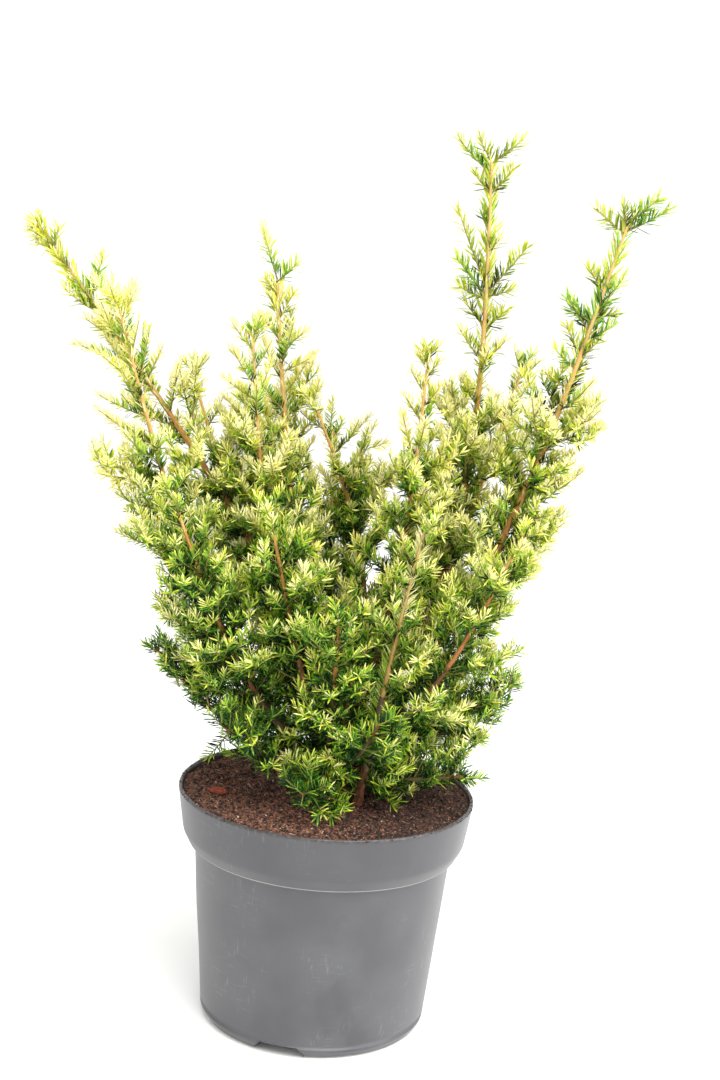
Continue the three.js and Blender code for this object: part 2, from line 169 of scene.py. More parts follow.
class Dice:
    """The small seeded generator of the solids: the same seed gives the same plant everywhere."""

    def __init__(self, seed):
        self.state = (seed * 7919 + 12345) % 2**32
        self.roll()
        self.roll()

    def roll(self):
        self.state = (self.state * 1664525 + 1013904223) % 2**32
        return self.state / 2**32

    def between(self, low, high):
        return low + (high - low) * self.roll()

    def either(self, spread):
        return self.between(-spread, spread)


class Stem:
    """The line of a stem: a straight run from the trunk to its tip, with a belly, a bow and a hook added."""

    def __init__(self, index, name, azimuth, reach, top, leave, belly, bow=0, hook=0):
        angle = math.radians(azimuth)
        root_reach = FREE_ROOT_REACH if name == FREE_STEM else STEM_ROOT_REACH
        self.index, self.name = index, name
        self.belly, self.bow, self.hook = belly, bow, hook
        self.outwards = np.array([math.cos(angle), math.sin(angle), 0.0])
        self.sideways = np.array([-math.sin(angle), math.cos(angle), 0.0])
        self.start = self.outwards * root_reach + UP * leave
        self.end = self.outwards * reach + UP * top
        self.length = float(np.linalg.norm(self.end - self.start))
        self.root = 0.0022 + 0.0055 * self.length
        self.bare = (0.026 + 0.05 * self.length) / self.length
        self.bush = 0.040 + 0.05 * self.length
        self.bare_above, self.tip, self.gold = LEADERS.get(name, (1, 1, 0.42))
        self.lean = LEANS.get(name, 0) * np.array([1.0, 0, 0])
        self.samples = self.point(np.linspace(0, 1, STEM_SAMPLES + 1))

    def point(self, t):
        """Places along the stem: the straight run, plus outwards (belly sin(pi t^0.7) + hook t^6), plus
        sideways bow sin(pi t^0.7), plus lean t^1.5."""
        t = np.asarray(t, float)[..., None]
        grown = np.maximum(t, 0)
        swell = np.sin(math.pi * grown**SWELL_POWER)
        out = self.outwards * (self.belly * swell + self.hook * grown**HOOK_POWER)
        return mix(self.start, self.end, t) + out + self.sideways * self.bow * swell + self.lean * grown**1.5

    def tangent(self, t):
        t = np.asarray(t, float)
        return unit(self.point(np.minimum(t + 0.01, 1)) - self.point(np.maximum(t - 0.01, 0)))

    def radius(self, t):
        return mix(self.root, STEM_TIP, np.maximum(t, 0) ** STEM_TAPER)


stems = [Stem(index, *sizes) for index, sizes in enumerate(STEMS)]
stem_named = {stem.name: stem for stem in stems}
STEM_LINES = np.stack([stem.samples for stem in stems])
FREE_INDEX = stem_named[FREE_STEM].index

# Side shoots that mark the crown's outline: a stem, and for each of its shoots the share along it, azimuth
# and climb in degrees, and length. A shoot's place in the whole list sets its roll and its bloom, so some
# stems come twice.
MARKED_SHOOTS = (
    ("tallest", (
        (0.962, 179, 38, 0.04), (0.98, 170, 56, 0.022), (0.98, -6, 36, 0.032), (0.934, 178, 40, 0.02),
        (0.931, -5, 48, 0.028), (0.785, 178, 62, 0.068), (0.772, 178, 42, 0.04), (0.775, -4, 48, 0.05),
        (0.768, -4, 14, 0.024), (0.766, 176, 12, 0.026), (0.72, 178, 44, 0.028), (0.715, -4, 42, 0.024),
        (0.665, 178, 46, 0.032), (0.66, -4, 44, 0.028), (0.645, -80, 40, 0.03), (0.88, 178, 52, 0.014),
        (0.84, -5, 50, 0.014),
    )),
    ("far_right", (
        (0.965, 173, 31, 0.031), (0.968, -9, 26, 0.04), (0.985, -9, 38, 0.03), (0.972, 172, 78, 0.02),
        (0.865, 172, 52, 0.024), (0.83, -8, 54, 0.036), (0.825, -8, 5, 0.018), (0.815, 172, 22, 0.022),
        (0.8, 172, 48, 0.034), (0.785, -8, 26, 0.026), (0.76, 172, 54, 0.026), (0.75, -8, 46, 0.026),
        (0.735, 172, 34, 0.024), (0.7, 172, 26, 0.024), (0.597, -6, 22, 0.052), (0.415, -3, 16, 0.05),
    )),
    ("far_left", (
        (0.95, 183, 12, 0.02), (0.91, 182, 40, 0.024), (0.865, 0, 74, 0.036), (0.85, 181, 30, 0.03),
        (0.8, 5, 70, 0.044), (0.79, 182, 22, 0.034), (0.735, 181, 48, 0.036), (0.715, 2, 66, 0.03),
        (0.75, 181, 6, 0.056), (0.69, 181, 34, 0.042),
    )),
    ("left_centre", (
        (0.93, 172, 68, 0.046), (0.925, -6, 42, 0.023), (0.9, 170, 40, 0.018), (0.86, 172, 56, 0.024),
        (0.85, -6, 62, 0.026), (0.81, 172, 44, 0.026), (0.79, -6, 36, 0.028), (0.745, -6, 24, 0.028),
    )),
    ("right_inner", (
        (0.96, 178, 56, 0.015), (0.93, -5, 54, 0.018), (0.895, 176, 52, 0.022), (0.86, -5, 50, 0.024),
        (0.83, 176, 48, 0.026),
    )),
    ("right_front", ((0.85, -2, 23, 0.034), (0.82, 8, 14, 0.036))),
    ("left_inner", (
        (0.9, 178, 35, 0.03), (0.84, 178, 24, 0.034), (0.78, 178, 30, 0.038), (0.7, 176, 36, 0.044),
        (0.61, 176, 48, 0.05),
    )),
    ("left_rear", ((0.74, 10, 68, 0.046),)),
    ("left_centre", ((0.66, -10, 36, 0.042), (0.6, -10, 44, 0.044))),
    ("low_front_right", ((0.86, 17, 50, 0.05), (0.9, -2, -4, 0.03))),
    ("left", (
        (0.9, 180, 42, 0.034), (0.83, 180, 28, 0.042), (0.76, 178, 14, 0.046), (0.7, -175, 24, 0.06),
        (0.61, -175, 18, 0.074), (0.47, -178, 8, 0.07), (0.42, 178, 22, 0.052), (0.33, 180, 16, 0.056),
    )),
    ("left_front", ((0.75, -177, 23, 0.066), (0.46, -178, 18, 0.062))),
    ("low_front_left", ((0.32, -173, 2, 0.05),)),
    ("low_rear_left", ((0.93, -150, -52, 0.04), (0.35, 60, 62, 0.05), (0.55, 120, 60, 0.05))),
    ("low_left", ((0.45, 150, 58, 0.048), (0.62, 192, 60, 0.046), (0.78, 176, 62, 0.036))),
    ("left", ((0.22, 176, 6, 0.056),)),
    ("left_front", ((0.38, -172, 4, 0.06),)),
    ("left_rear", ((0.12, -160, 12, 0.05),)),
    ("rear_left", ((0.13, -170, 20, 0.05),)),
    ("left_inner", ((0.11, -145, 15, 0.045),)),
    ("low_front", ((0.3, -112, 0, 0.034),)),
    ("arched", (
        (0.83, 5, 46, 0.046), (0.74, 15, 62, 0.058), (0.62, 15, 60, 0.056), (0.62, -20, 50, 0.06),
    )),
    ("rear_centre", ((0.71, 8, 45, 0.06),)),
)
# Pockets of sky that stay open through the crown, in line with the eye: x and z where they cross the plane
# y = 0, and their half width and half height.
SKY_POCKETS = (
    (0.035, 0.460, 0.008, 0.009),
    (0.024, 0.426, 0.005, 0.019),
    (-0.024, 0.525, 0.004, 0.030),
    (-0.006, 0.549, 0.008, 0.011),
    (0.029, 0.590, 0.012, 0.030),
)
# Stretches of stem that show between the sprays, from one share to another, with how far beside them the
# sprays in front stay.
SHOWN_STEMS = (
    ("front_right", 0.02, 0.92, 0.006),
    ("far_left", 0.61, 0.70, 0.009),
    ("far_right", 0.41, 0.50, 0.005),
    ("right_front", 0.50, 0.57, 0.008),
    ("front_left", 0.30, 0.42, 0.005),
    ("front_left", 0.62, 0.85, 0.005),
)
# How far over the soil the crown's lower edge hangs, and how much higher at the left, with the reach over
# which it gets there.
SKIRT_CLEARANCE, SKIRT_LIFT, SKIRT_REACH = 0.007, 0.055, 0.090
# The crown's lower edge beside the pot, as rows of x, z and slope: in line with the eye, sprays stay over
# z + slope (x - row's x) beyond each x. The first holds at the left and the others at the right.
LOWER_EDGE = ((-0.085, 0.258, 1.0), (0.092, 0.243, 0.0), (0.140, 0.243, 2.6))

# One row for each shoot. It runs from root along heading for length, and turns up by rise of its length.
# side lies across it, in the plane of its two ranks of needles. radial is 0 where they lie in two ranks and
# 1 where they stand all round. share is where its stem bears it, and bloom its own luck between green and
# gold.
SHOOT = np.dtype(
    [("stem", "i4"), ("order", "i4"), ("share", "f8"), ("root", "f8", 3), ("heading", "f8", 3),
     ("side", "f8", 3), ("length", "f8"), ("rise", "f8"), ("thick", "f8"), ("radial", "f8"), ("bloom", "f8")]
)
TWIG_TIP = 0.0005  # radius of a shoot's tip
SHORTEST_FINE = 0.010  # finer shoots that would be shorter are left out
# The crown's upper, sunlit part is reached CROWN_OVER above CROWN_FROM, and a shoot is wholly on a leader
# LEADER_OVER above LEADER_FROM.
CROWN_FROM, CROWN_OVER = 0.28, 0.26
LEADER_FROM, LEADER_OVER = 0.60, 0.07
WHORL_COUNT, WHORL_TOP, WHORL_STEP = 3, 0.985, 0.014
# Side shoots longer than BUSHY_LENGTH branch where their share along the stem times their height is under
# BUSHY_LEVEL, and the finer shoots longer than FORKED_LENGTH branch again.
BUSHY_LENGTH, BUSHY_LEVEL, FORKED_LENGTH = 0.036, 0.38, 0.026
BATCH = 400  # points that are compared with the stems at a time, to spare memory


def shoot_point(shoots, s):
    """root + heading L s + up L rise s^2, at the same share s or one for each shoot, or at several for a
    column of shoots."""
    run = shoots["length"] * s
    return shoots["root"] + shoots["heading"] * run[..., None] + UP * (shoots["rise"] * run * s)[..., None]


def shoot_ahead(shoots, s):
    """The direction of each shoot at share s: heading + up 2 rise s."""
    return unit(shoots["heading"] + UP * 2 * (shoots["rise"] * s)[:, None])


def dealt(counts):
    """For things of which each shoot has a count: the owner of each thing, and its number there from 0."""
    owner = np.repeat(np.arange(len(counts)), counts)
    return owner, np.arange(len(owner)) - np.repeat(np.cumsum(counts) - counts, counts)


def in_own_space(points, owners):
    """True where a point is clearly nearer to its own stem than to any other."""
    kept = np.empty(len(points), bool)
    for first in range(0, len(points), BATCH):
        part = slice(first, first + BATCH)
        gaps = np.linalg.norm(points[part, None, None] - STEM_LINES[None], axis=-1).min(-1)
        rows = np.arange(len(gaps))
        own = gaps[rows, owners[part]].copy()
        gaps[rows, owners[part]] = np.inf
        kept[part] = gaps.min(1) > own * SPACE_SHARE
    return kept


def clearings():
    """Where no spray grows: the pockets of sky, and spots along the shown stems.

    A row holds x and z where the line from the eye crosses the plane y = 0, half width, half height, and the
    y in front of which it holds."""
    rows = [(*pocket, math.inf) for pocket in SKY_POCKETS]
    for name, first, last, beside in SHOWN_STEMS:
        stem = stem_named[name]
        for place in stem.point(np.linspace(first, last, math.ceil((last - first) * stem.length / 0.005))):
            rows.append((*in_sight(place), beside, beside, place[1] - 0.004))
    return np.array(rows)


def in_sight(points):
    """x and z where the line from the eye through each point crosses the plane y = 0."""
    points = np.asarray(points)
    return (EYE + (points - EYE) * (EYE[1] / (EYE[1] - points[..., 1:2])))[..., [0, 2]]


def leaves_clear(points, spots):
    """True where a point lies outside all clearings or behind them."""
    off = (in_sight(points)[:, None] - spots[:, :2]) / spots[:, 2:4]
    return ((np.linalg.norm(off, axis=-1) > 1) | (points[:, 1:2] > spots[:, 4])).all(1)


def over_skirt(tips):
    """True over the crown's lower edge, which hangs low on the right and stands higher on the left, and which
    rises outwards beside the pot."""
    lift = SKIRT_CLEARANCE + SKIRT_LIFT * np.clip(-tips[:, 0] / SKIRT_REACH, 0, 1)
    kept = tips[:, 2] > SOIL_HIGH.z + lift
    x, z = in_sight(tips).T
    for edge, level, slope in LOWER_EDGE:
        beyond = (x - edge) * math.copysign(1, edge)
        kept &= (beyond < 0) | (z > level + slope * beyond)
    return kept


def fitted(shoots, shortest):
    """Shoots that keep to their own stem's space and to the solids' box, tried shorter where they would
    leave it."""
    low, high = np.array(CAD_BOX)
    kept = []
    waiting = shoots
    for share in TRIES:
        tried = waiting.copy()
        tried["length"] *= share
        tips = shoot_point(tried, 1)
        fits = in_own_space(tips, tried["stem"]) & ((tips > low) & (tips < high)).all(1)
        kept.append(tried[fits & (tried["length"] > shortest)])
        waiting = waiting[~fits]
    return np.concatenate(kept)


def leaving(stem, t, turn, angle, roll=0.0):
    """Where a shoot leaves its stem, with its heading and its side, for a turn about the stem, an angle to
    it and a roll about the shoot."""
    tangent = stem.tangent(t)
    radial = swung(unit(np.cross(tangent, UP)), tangent, turn)
    heading = tangent * math.cos(angle) + radial * math.sin(angle)
    return stem.point(t), heading, swung(unit(np.cross(heading, tangent)), heading, roll)


def side_shoots():
    """The first side shoots of all stems, from the same throws of the dice as in the solids."""
    rows = []
    for stem in stems:
        dice = Dice(stem.index + 1)
        luck = np.random.default_rng(100 + stem.index)
        count = round((LAST_TWIG - stem.bare) * stem.length / TWIG_PITCH)
        for k in range(count):
            u = (k + 0.5) / count
            leaves = mix(stem.bare + FIRST_TWIG, LAST_TWIG, u)
            if leaves > stem.bare_above:
                break
            turn = np.radians(k * GOLDEN_ANGLE + dice.either(TURN_SPREAD))
            angle = math.radians(mix(OPEN_ANGLE, CLOSED_ANGLE, u) + dice.either(ANGLE_SPREAD))
            fullness = mix(LOW_FULLNESS, HIGH_FULLNESS, u)
            length = stem.bush * fullness * dice.between(SHORTER, LONGER)
            roll = np.radians(dice.either(ROLL_SPREAD))
            root, heading, side = leaving(stem, leaves, turn, angle, roll)
            thick = 0.42 * stem.radius(leaves) + 0.0003
            rows.append((stem.index, 1, leaves, root, heading, side, length, UPWARD_TURN, thick, 0.25,
                         luck.random()))
    return fitted(np.array(rows, SHOOT), SHORTEST_TWIG)


def marked_shoots():
    """The side shoots of MARKED_SHOOTS, with their two ranks rolled to one side or the other."""
    rows = []
    marks = [(stem_named[name], *mark) for name, marks in MARKED_SHOOTS for mark in marks]
    for k, (stem, t, azimuth, climb, length) in enumerate(marks):
        turn, rise = math.radians(azimuth), math.radians(climb)
        flat = math.cos(rise)
        heading = np.array([math.cos(turn) * flat, math.sin(turn) * flat, math.sin(rise)])
        side = swung(unit(np.cross(heading, UP)), heading, np.radians(45 * math.sin(k * 1.9)))
        rows.append((stem.index, 1, t, stem.point(t), heading, side, length, 0.12,
                     0.3 * stem.radius(t) + 0.0005, 0.45, 0.72 + 0.2 * math.sin(k * 2.4)))
    return np.array(rows, SHOOT)


def end_shoots(luck):
    """The spread whorl of shoots that ends each stem."""
    rows = []
    for stem in (stem for stem in stems if stem.tip == 1):
        for k in range(WHORL_COUNT):
            t = WHORL_TOP - WHORL_STEP * k
            turn = np.radians(stem.index * 50 + k * 120 + luck.uniform(-15, 15))
            root, heading, side = leaving(stem, t, turn, math.radians(luck.uniform(36, 54)))
            length = (0.010 + 0.035 * stem.length * stem.bare_above**5) * luck.uniform(0.8, 1.2)
            rows.append((stem.index, 2, t, root, heading, side, length, 0.15, 0.0009, 0.3,
                         luck.uniform(0.55, 1)))
    return np.array(rows, SHOOT)


def stem_shoots(luck):
    """Short shoots straight from the stems, between the longer ones and below the bare leaders."""
    rows = []
    for stem in stems:
        top = mix(0.90, 0.60, np.clip((stem.length - 0.25) / 0.2, 0, 1))
        low = stem.bare * 0.3
        count = round((top - low) * stem.length / mix(0.0042, 0.0066, np.clip(stem.length / 0.4, 0, 1)))
        for k in range(count):
            t = mix(low, top, ((k + luck.uniform(0.2, 0.8)) / count) ** 1.25)
            turn = np.radians(k * GOLDEN_ANGLE + 68 + luck.uniform(-25, 25))
            angle = math.radians(mix(58, 42, t) + luck.uniform(-10, 10))
            root, heading, side = leaving(stem, t, turn, angle, np.radians(luck.uniform(-40, 40)))
            length = mix(0.044, 0.028, t) * luck.uniform(0.6, 1.25)
            rows.append((stem.index, 2, t, root, heading, side, length, 0.2, 0.0009, 0.35, luck.random()))
    return fitted(np.array(rows, SHOOT), SHORTEST_FINE)


def branched(parents, pitch, first, last, reach, angles, luck, radial):
    """Finer shoots, left and right in turn along their parents and a little out of their plane.

    They lie first to last along a parent, pitch apart. reach gives their length low down and near the tip,
    and angles the angle that they open, in degrees, at the same two places."""
    counts = np.maximum(np.round(parents["length"] * (last - first) / pitch).astype(int), 1)
    owner, k = dealt(counts)
    parent = parents[owner]
    u = (k + luck.uniform(0.2, 0.8, len(k))) / counts[owner]
    s = mix(first, last, u)
    ahead = shoot_ahead(parent, s)
    side = across(parent["side"], ahead) * np.where(k % 2, 1, -1)[:, None]
    out = swung(side, ahead, np.radians(luck.uniform(-32, 32, len(k))))
    angle = np.radians(mix(angles[0], angles[1], u) + luck.uniform(-8, 8, len(k)))[:, None]
    made = np.zeros(len(k), SHOOT)
    made["stem"] = parent["stem"]
    made["share"] = parent["share"]
    made["order"] = parent["order"] + 1
    made["root"] = shoot_point(parent, s)
    made["heading"] = ahead * np.cos(angle) + out * np.sin(angle)
    made["side"] = across(ahead, made["heading"])
    made["length"] = mix(reach[0], reach[1], u) * luck.uniform(0.7, 1.25, len(k))
    made["rise"] = 0.34
    made["thick"] = 0.55 * mix(parent["thick"], 0.0006, s) + 0.0003
    made["radial"] = radial
    made["bloom"] = mix(parent["bloom"], luck.random(len(k)), 0.4)
    return made


def grown_shoots(growth):
    """All the plant's shoots: the side shoots, their branches, and the short shoots of the stems.

    Each long side shoot branches along its lower three quarters, and runs out in a finger of its own. The
    shoots of the free stem at the front are nearer to gold."""
    luck = np.random.default_rng(growth.seed)
    marked, sides = marked_shoots(), side_shoots()
    first = np.concatenate([sides, marked])
    short = stem_shoots(luck)
    ends = end_shoots(luck)
    is_low = first["share"] * first["root"][:, 2] < BUSHY_LEVEL
    bushy = first[(first["length"] > BUSHY_LENGTH) & is_low]
    second = branched(bushy, growth.branch_pitch, 0.16, 0.76, (0.040, 0.020), (50, 36), luck, 0.35)
    second = fitted(second, SHORTEST_FINE)
    longer = np.concatenate([second, short])
    longer = longer[longer["length"] > FORKED_LENGTH]
    third = branched(longer, growth.branch_pitch * 1.3, 0.25, 0.80, (0.020, 0.012), (48, 38), luck, 0.4)
    free = np.concatenate([sides, short, ends, second, fitted(third, 0.008)])
    kept = over_skirt(shoot_point(free, 1))
    spots = clearings()
    for s in (0.35, 0.7, 1.0):
        kept &= leaves_clear(shoot_point(free, s), spots)
    every = np.concatenate([marked, free[kept]])
    in_front = every["stem"] == FREE_INDEX
    every["bloom"] = np.where(in_front, mix(every["bloom"], 1, 0.5), every["bloom"])
    return every


# ----------------------------------------------------------------------------------------------------------
# Surfaces
# ----------------------------------------------------------------------------------------------------------


def lattice_noise(x, y, seed, wrap=None):
    """Smooth noise from -1 to 1: random numbers on a square lattice, eased between its points with
    3 f^2 - 2 f^3. wrap is the number of lattice steps after which it repeats in x."""
    table = np.random.default_rng(int(seed)).uniform(-1, 1, (256, 256))
    columns, rows = np.floor(x).astype(int), np.floor(y).astype(int)
    fx, fy = x - columns, y - rows
    fx, fy = fx * fx * (3 - 2 * fx), fy * fy * (3 - 2 * fy)
    period = wrap or 256
    left, right = columns % period, (columns + 1) % period
    low, high = rows % 256, (rows + 1) % 256
    near = mix(table[left, low], table[right, low], fx)
    return mix(near, mix(table[left, high], table[right, high], fx), fy)


def rough_noise(x, y, seed):
    """Lattice noise summed over three octaves, each twice as fine and half as strong."""
    return sum(lattice_noise(x * 2**k, y * 2**k, seed + k) / 2**k for k in range(3))


def ring_faces(rings, sides):
    """The faces of a tube of rings, whose points run ring by ring and turn anticlockwise about the way the
    tube goes, closed at both ends by the two points that follow them. Returns its quads and its triangles."""
    k = np.arange(sides)
    after = (k + 1) % sides
    base = np.arange(rings - 1)[:, None] * sides
    quads = np.stack([base + k, base + after, base + sides + after, base + sides + k], -1).reshape(-1, 4)
    start, end = rings * sides, rings * sides + 1
    top = (rings - 1) * sides
    low = np.stack([np.full(sides, start), after, k], -1)
    high = np.stack([np.full(sides, end), top + k, top + after], -1)
    return quads, np.concatenate([low, high])


def tubes(lines, radii, hints, sides, relief=None):
    """Round tubes along n lines of m points: centre + radius (first cos(a) + second sin(a)), with first
    square to the line and nearest to the hint. relief multiplies the radius at each ring and side.
    Returns all their points, with each tube's two end points last."""
    ahead = unit(np.gradient(lines, axis=1))
    first = across(hints[:, None] + 0 * ahead, ahead)
    second = np.cross(ahead, first)
    angle = np.arange(sides) * TURN / sides
    reach = radii[..., None] * (1 if relief is None else relief)
    spokes = first[:, :, None] * np.cos(angle)[:, None] + second[:, :, None] * np.sin(angle)[:, None]
    rings = lines[:, :, None] + spokes * reach[..., None]
    start = lines[:, :1] - ahead[:, :1] * radii[:, :1, None] * 0.6
    end = lines[:, -1:] + ahead[:, -1:] * radii[:, -1:, None] * 0.9
    return np.concatenate([rings.reshape(len(lines), -1, 3), start, end], 1)


def repeated(faces, count, size):
    """The faces of one shape, for count copies of it whose points follow each other, size to a copy."""
    shifts = np.arange(count)[:, None, None] * size
    return (faces[None] + shifts).reshape(-1, faces.shape[1])


def add_piece(name, points, faces, materials, nodes=(), kinds=None, smooth=True):
    """Puts points and arrays of faces into a mesh object that rides on the plant's one body.

    kinds holds one array of material numbers for each array of faces. nodes are the solids that it
    stands for."""
    mesh = bpy.data.meshes.new(name)
    points = np.asarray(points, np.float32).reshape(-1, 3)
    corners = np.concatenate([part.ravel() for part in faces]).astype(np.int32)
    widths = np.concatenate([np.full(len(part), part.shape[1]) for part in faces])
    mesh.vertices.add(len(points))
    mesh.vertices.foreach_set("co", points.ravel())
    mesh.loops.add(len(corners))
    mesh.loops.foreach_set("vertex_index", corners)
    mesh.polygons.add(len(widths))
    mesh.polygons.foreach_set("loop_start", (np.cumsum(widths) - widths).astype(np.int32))
    mesh.polygons.foreach_set("use_smooth", np.full(len(widths), smooth))
    for material in materials:
        mesh.materials.append(material)
    if kinds is not None:
        mesh.polygons.foreach_set("material_index", np.concatenate(kinds).astype(np.int32))
    mesh.update(calc_edges=True)
    mesh.validate()
    piece = bpy.data.objects.new(name, mesh)
    bpy.context.scene.collection.objects.link(piece)
    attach(piece, "root")
    if nodes:
        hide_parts(*nodes)


# ----------------------------------------------------------------------------------------------------------
# Materials
# ----------------------------------------------------------------------------------------------------------


def colour(code):
    """An sRGB hex colour as linear red, green, blue and alpha."""
    parts = [int(code[i : i + 2], 16) / 255 for i in (1, 3, 5)]
    return (*[p / 12.92 if p <= 0.04045 else ((p + 0.055) / 1.055) ** 2.4 for p in parts], 1.0)


def add_node(tree, kind, inputs=(), out=0, **settings):
    """Adds a shader node with its settings, and returns one of its outputs. Each input, in order or by name
    or number, is set to a value or linked to another node's output."""
    node = tree.nodes.new(f"ShaderNode{kind}")
    for key, value in settings.items():
        setattr(node, key, value)
    for key, value in inputs.items() if isinstance(inputs, dict) else enumerate(inputs):
        if isinstance(value, bpy.types.NodeSocket):
            tree.links.new(value, node.inputs[key])
        else:
            node.inputs[key].default_value = value
    return node.outputs[out] if node.outputs else None


def new_material(name, **uniform):
    """A material with its output and one shader, whose uniform values are set on its own sockets."""
    material = bpy.data.materials.new(name)
    material.use_nodes = True
    tree = material.node_tree
    tree.nodes.clear()
    surface = add_node(tree, "BsdfPrincipled", {k.replace("_", " "): v for k, v in uniform.items()})
    add_node(tree, "OutputMaterial", {"Surface": surface})
    return material, tree, surface.node


def noise_at(tree, where, per_metre, detail=3.0, stretch=(1, 1, 1)):
    """Noise on object coordinates, with per_metre blotches to the metre, stretched by shares of that."""
    scale = [per_metre * share for share in stretch]
    mapped = add_node(tree, "Mapping", {"Vector": where, "Scale": scale})
    return add_node(tree, "TexNoise", {"Vector": mapped, "Scale": 1.0, "Detail": detail})


def coated(tree, base, coats):
    """A base colour with others over it in turn. A coat has its colour and what it follows: a share from 0 to
    1, or a value, where it sets in and where it is full, and the share that it then covers."""
    for code, share, *span in coats:
        if span:
            start, full, most = span
            share = add_node(tree, "MapRange", (share, start, full, 0.0, most))
        base = add_node(tree, "Mix", {0: share, 6: base, 7: colour(code)}, out=2, data_type="RGBA")
    return base


def surfaced(tree, shader, base, height, distance):
    """Gives the shader its base colour, and a bump of a height from 0 to 1 over a distance in metres."""
    bump = add_node(tree, "Bump", {"Height": height, "Distance": distance, "Strength": 1.0})
    tree.links.new(base, shader.inputs["Base Color"])
    tree.links.new(bump, shader.inputs["Normal"])


def nursery_plastic(tint):
    """Moulded polypropylene with some recycled stock in it: an even mid grey with a satin skin, clouded by
    handling, with pale scuffs, dark specks and soil dust at the rim, and a painted highlight along the edges
    where the mould closed. The collar is a little darker."""
    material, tree, shader = new_material("moulded_polypropylene", IOR=1.49)
    where = add_node(tree, "TexCoord", out="Object")
    height = add_node(tree, "SeparateXYZ", (where,), out="Z")
    clouds = add_node(tree, "MapRange", (noise_at(tree, where, 16, 4), 0.35, 0.68))
    base = coated(tree, tuple(tint), [
        ("#545457", clouds),
        ("#414044", noise_at(tree, where, 26, 3, (1, 1, 0.5)), 0.60, 0.72, 0.5),
        ("#3C3C40", height, BAND_BOTTOM - 0.006, BAND_BOTTOM, 0.35),
    ])
    # Rubs and scratches are 1 mm wide and 10 to 20 mm long, up and down or round the pot, in patches.
    patches = add_node(tree, "MapRange", (noise_at(tree, where, 17, 1), 0.53, 0.66))
    for stretch, share, code in (((1, 1, 0.15), 0.15, "#A8A8A8"), ((0.12, 0.12, 1), 0.14, "#9A9A98")):
        rubs = noise_at(tree, where, 430, 2, stretch)
        rubs = add_node(tree, "MapRange", (rubs, 0.60, 0.74, 0.0, share))
        base = coated(tree, base, [(code, add_node(tree, "Math", (rubs, patches), operation="MULTIPLY"))])
    # Painted highlight: a pale line along the edges where the mould closed, under the collar and round the
    # foot.
    for level, thickness, share in ((POT_HIGH.z - 0.0530, 0.0012, 0.9), (0.0006, 0.0014, 0.6)):
        off = add_node(tree, "Math", (height, level), operation="SUBTRACT")
        off = add_node(tree, "Math", (off,), operation="ABSOLUTE")
        base = coated(tree, base, [("#C2C0B8", off, thickness, thickness / 2, share)])
    specks = add_node(tree, "TexVoronoi", {"Vector": where, "Scale": 34.0}, out="Distance")
    dust = add_node(tree, "MapRange", (height, POT_HIGH.z - 0.0045, POT_HIGH.z - 0.0010))
    grains = add_node(tree, "MapRange", (noise_at(tree, where, 260, 3), 0.40, 0.54))
    dust = add_node(tree, "Math", (dust, grains), operation="MULTIPLY")
    base = coated(tree, base, [("#2E2A28", specks, 0.030, 0.022, 0.7), ("#3A302B", dust)])
    gloss = add_node(tree, "MapRange", (clouds, 0.0, 1.0, 0.30, 0.40))
    tree.links.new(gloss, shader.inputs["Roughness"])
    # The skin's grain is finer than 0.3 mm on the real one. It is drawn at 1.2 mm, so that it shows.
    surfaced(tree, shader, base, noise_at(tree, where, 800, 2), 0.00012)
    return material


def peat(tint):
    """Moist peat with composted bark: near black in blotches, red brown on its dry crumbs, and dull. Towards
    the right it is darkened by a painted shade of the plant."""
    material, tree, shader = new_material("moist_peat", Roughness=0.93, IOR=1.45)
    where = add_node(tree, "TexCoord", out="Object")
    to_right = add_node(tree, "SeparateXYZ", (where,), out="X")
    crumbs = add_node(tree, "MapRange", (noise_at(tree, where, 380, 4), 0.40, 0.62))
    blotches = {0: crumbs, 6: colour("#1C120E"), 7: tuple(tint)}
    base = coated(tree, add_node(tree, "Mix", blotches, out=2, data_type="RGBA"), [
        ("#8A6048", noise_at(tree, where, 560, 2), 0.58, 0.68, 0.8),
        # painted shade: the peat darkens towards the right, where the plant's shade falls
        ("#1C120E", to_right, PAINTED_SHADE_FROM, PAINTED_SHADE_FULL, 0.6),
    ])
    surfaced(tree, shader, base, noise_at(tree, where, 500, 4), 0.0012)
    return material


def scaly_bark(name, tint, flake, crevice):
    """Yew bark: thin scales, red brown where one has just come off, and dark brown where they lie lowest."""
    material, tree, shader = new_material(name, Roughness=0.82, IOR=1.45)
    where = add_node(tree, "TexCoord", out="Object")
    # Scales are 3 to 8 mm long and 1 to 3 mm wide, up and down the limb.
    scales = noise_at(tree, where, 380, 3, (1, 1, 0.35))
    base = coated(tree, tuple(tint), [(flake, scales, 0.48, 0.60, 1.0), (crevice, scales, 0.42, 0.33, 0.9)])
    surfaced(tree, shader, base, scales, 0.0006)
    return material


def plain(name, tint, roughness, **uniform):
    """One base colour with its own gloss, for small joined things whose colours are dealt out piece by
    piece."""
    return new_material(name, Base_Color=tuple(tint), Roughness=roughness, **uniform)[0]


# ----------------------------------------------------------------------------------------------------------
# Settings
# ----------------------------------------------------------------------------------------------------------


def length_setting(name, description, default):
    """A length in metres."""
    return bpy.props.FloatProperty(name=name, description=description, default=default, unit="LENGTH")


def angle_setting(name, description, degrees):
    """An angle, given in degrees."""
    turn = math.radians(degrees)
    return bpy.props.FloatProperty(name=name, description=description, default=turn, subtype="ANGLE")


def count_setting(name, description, default):
    """A number of things."""
    return bpy.props.IntProperty(name=name, description=description, default=default, min=0)


def colour_setting(name, description, code):
    """A colour, given as sRGB hex."""
    tint = colour(code)
    return bpy.props.FloatVectorProperty(
        name=name, description=description, default=tint, size=4, subtype="COLOR"
    )


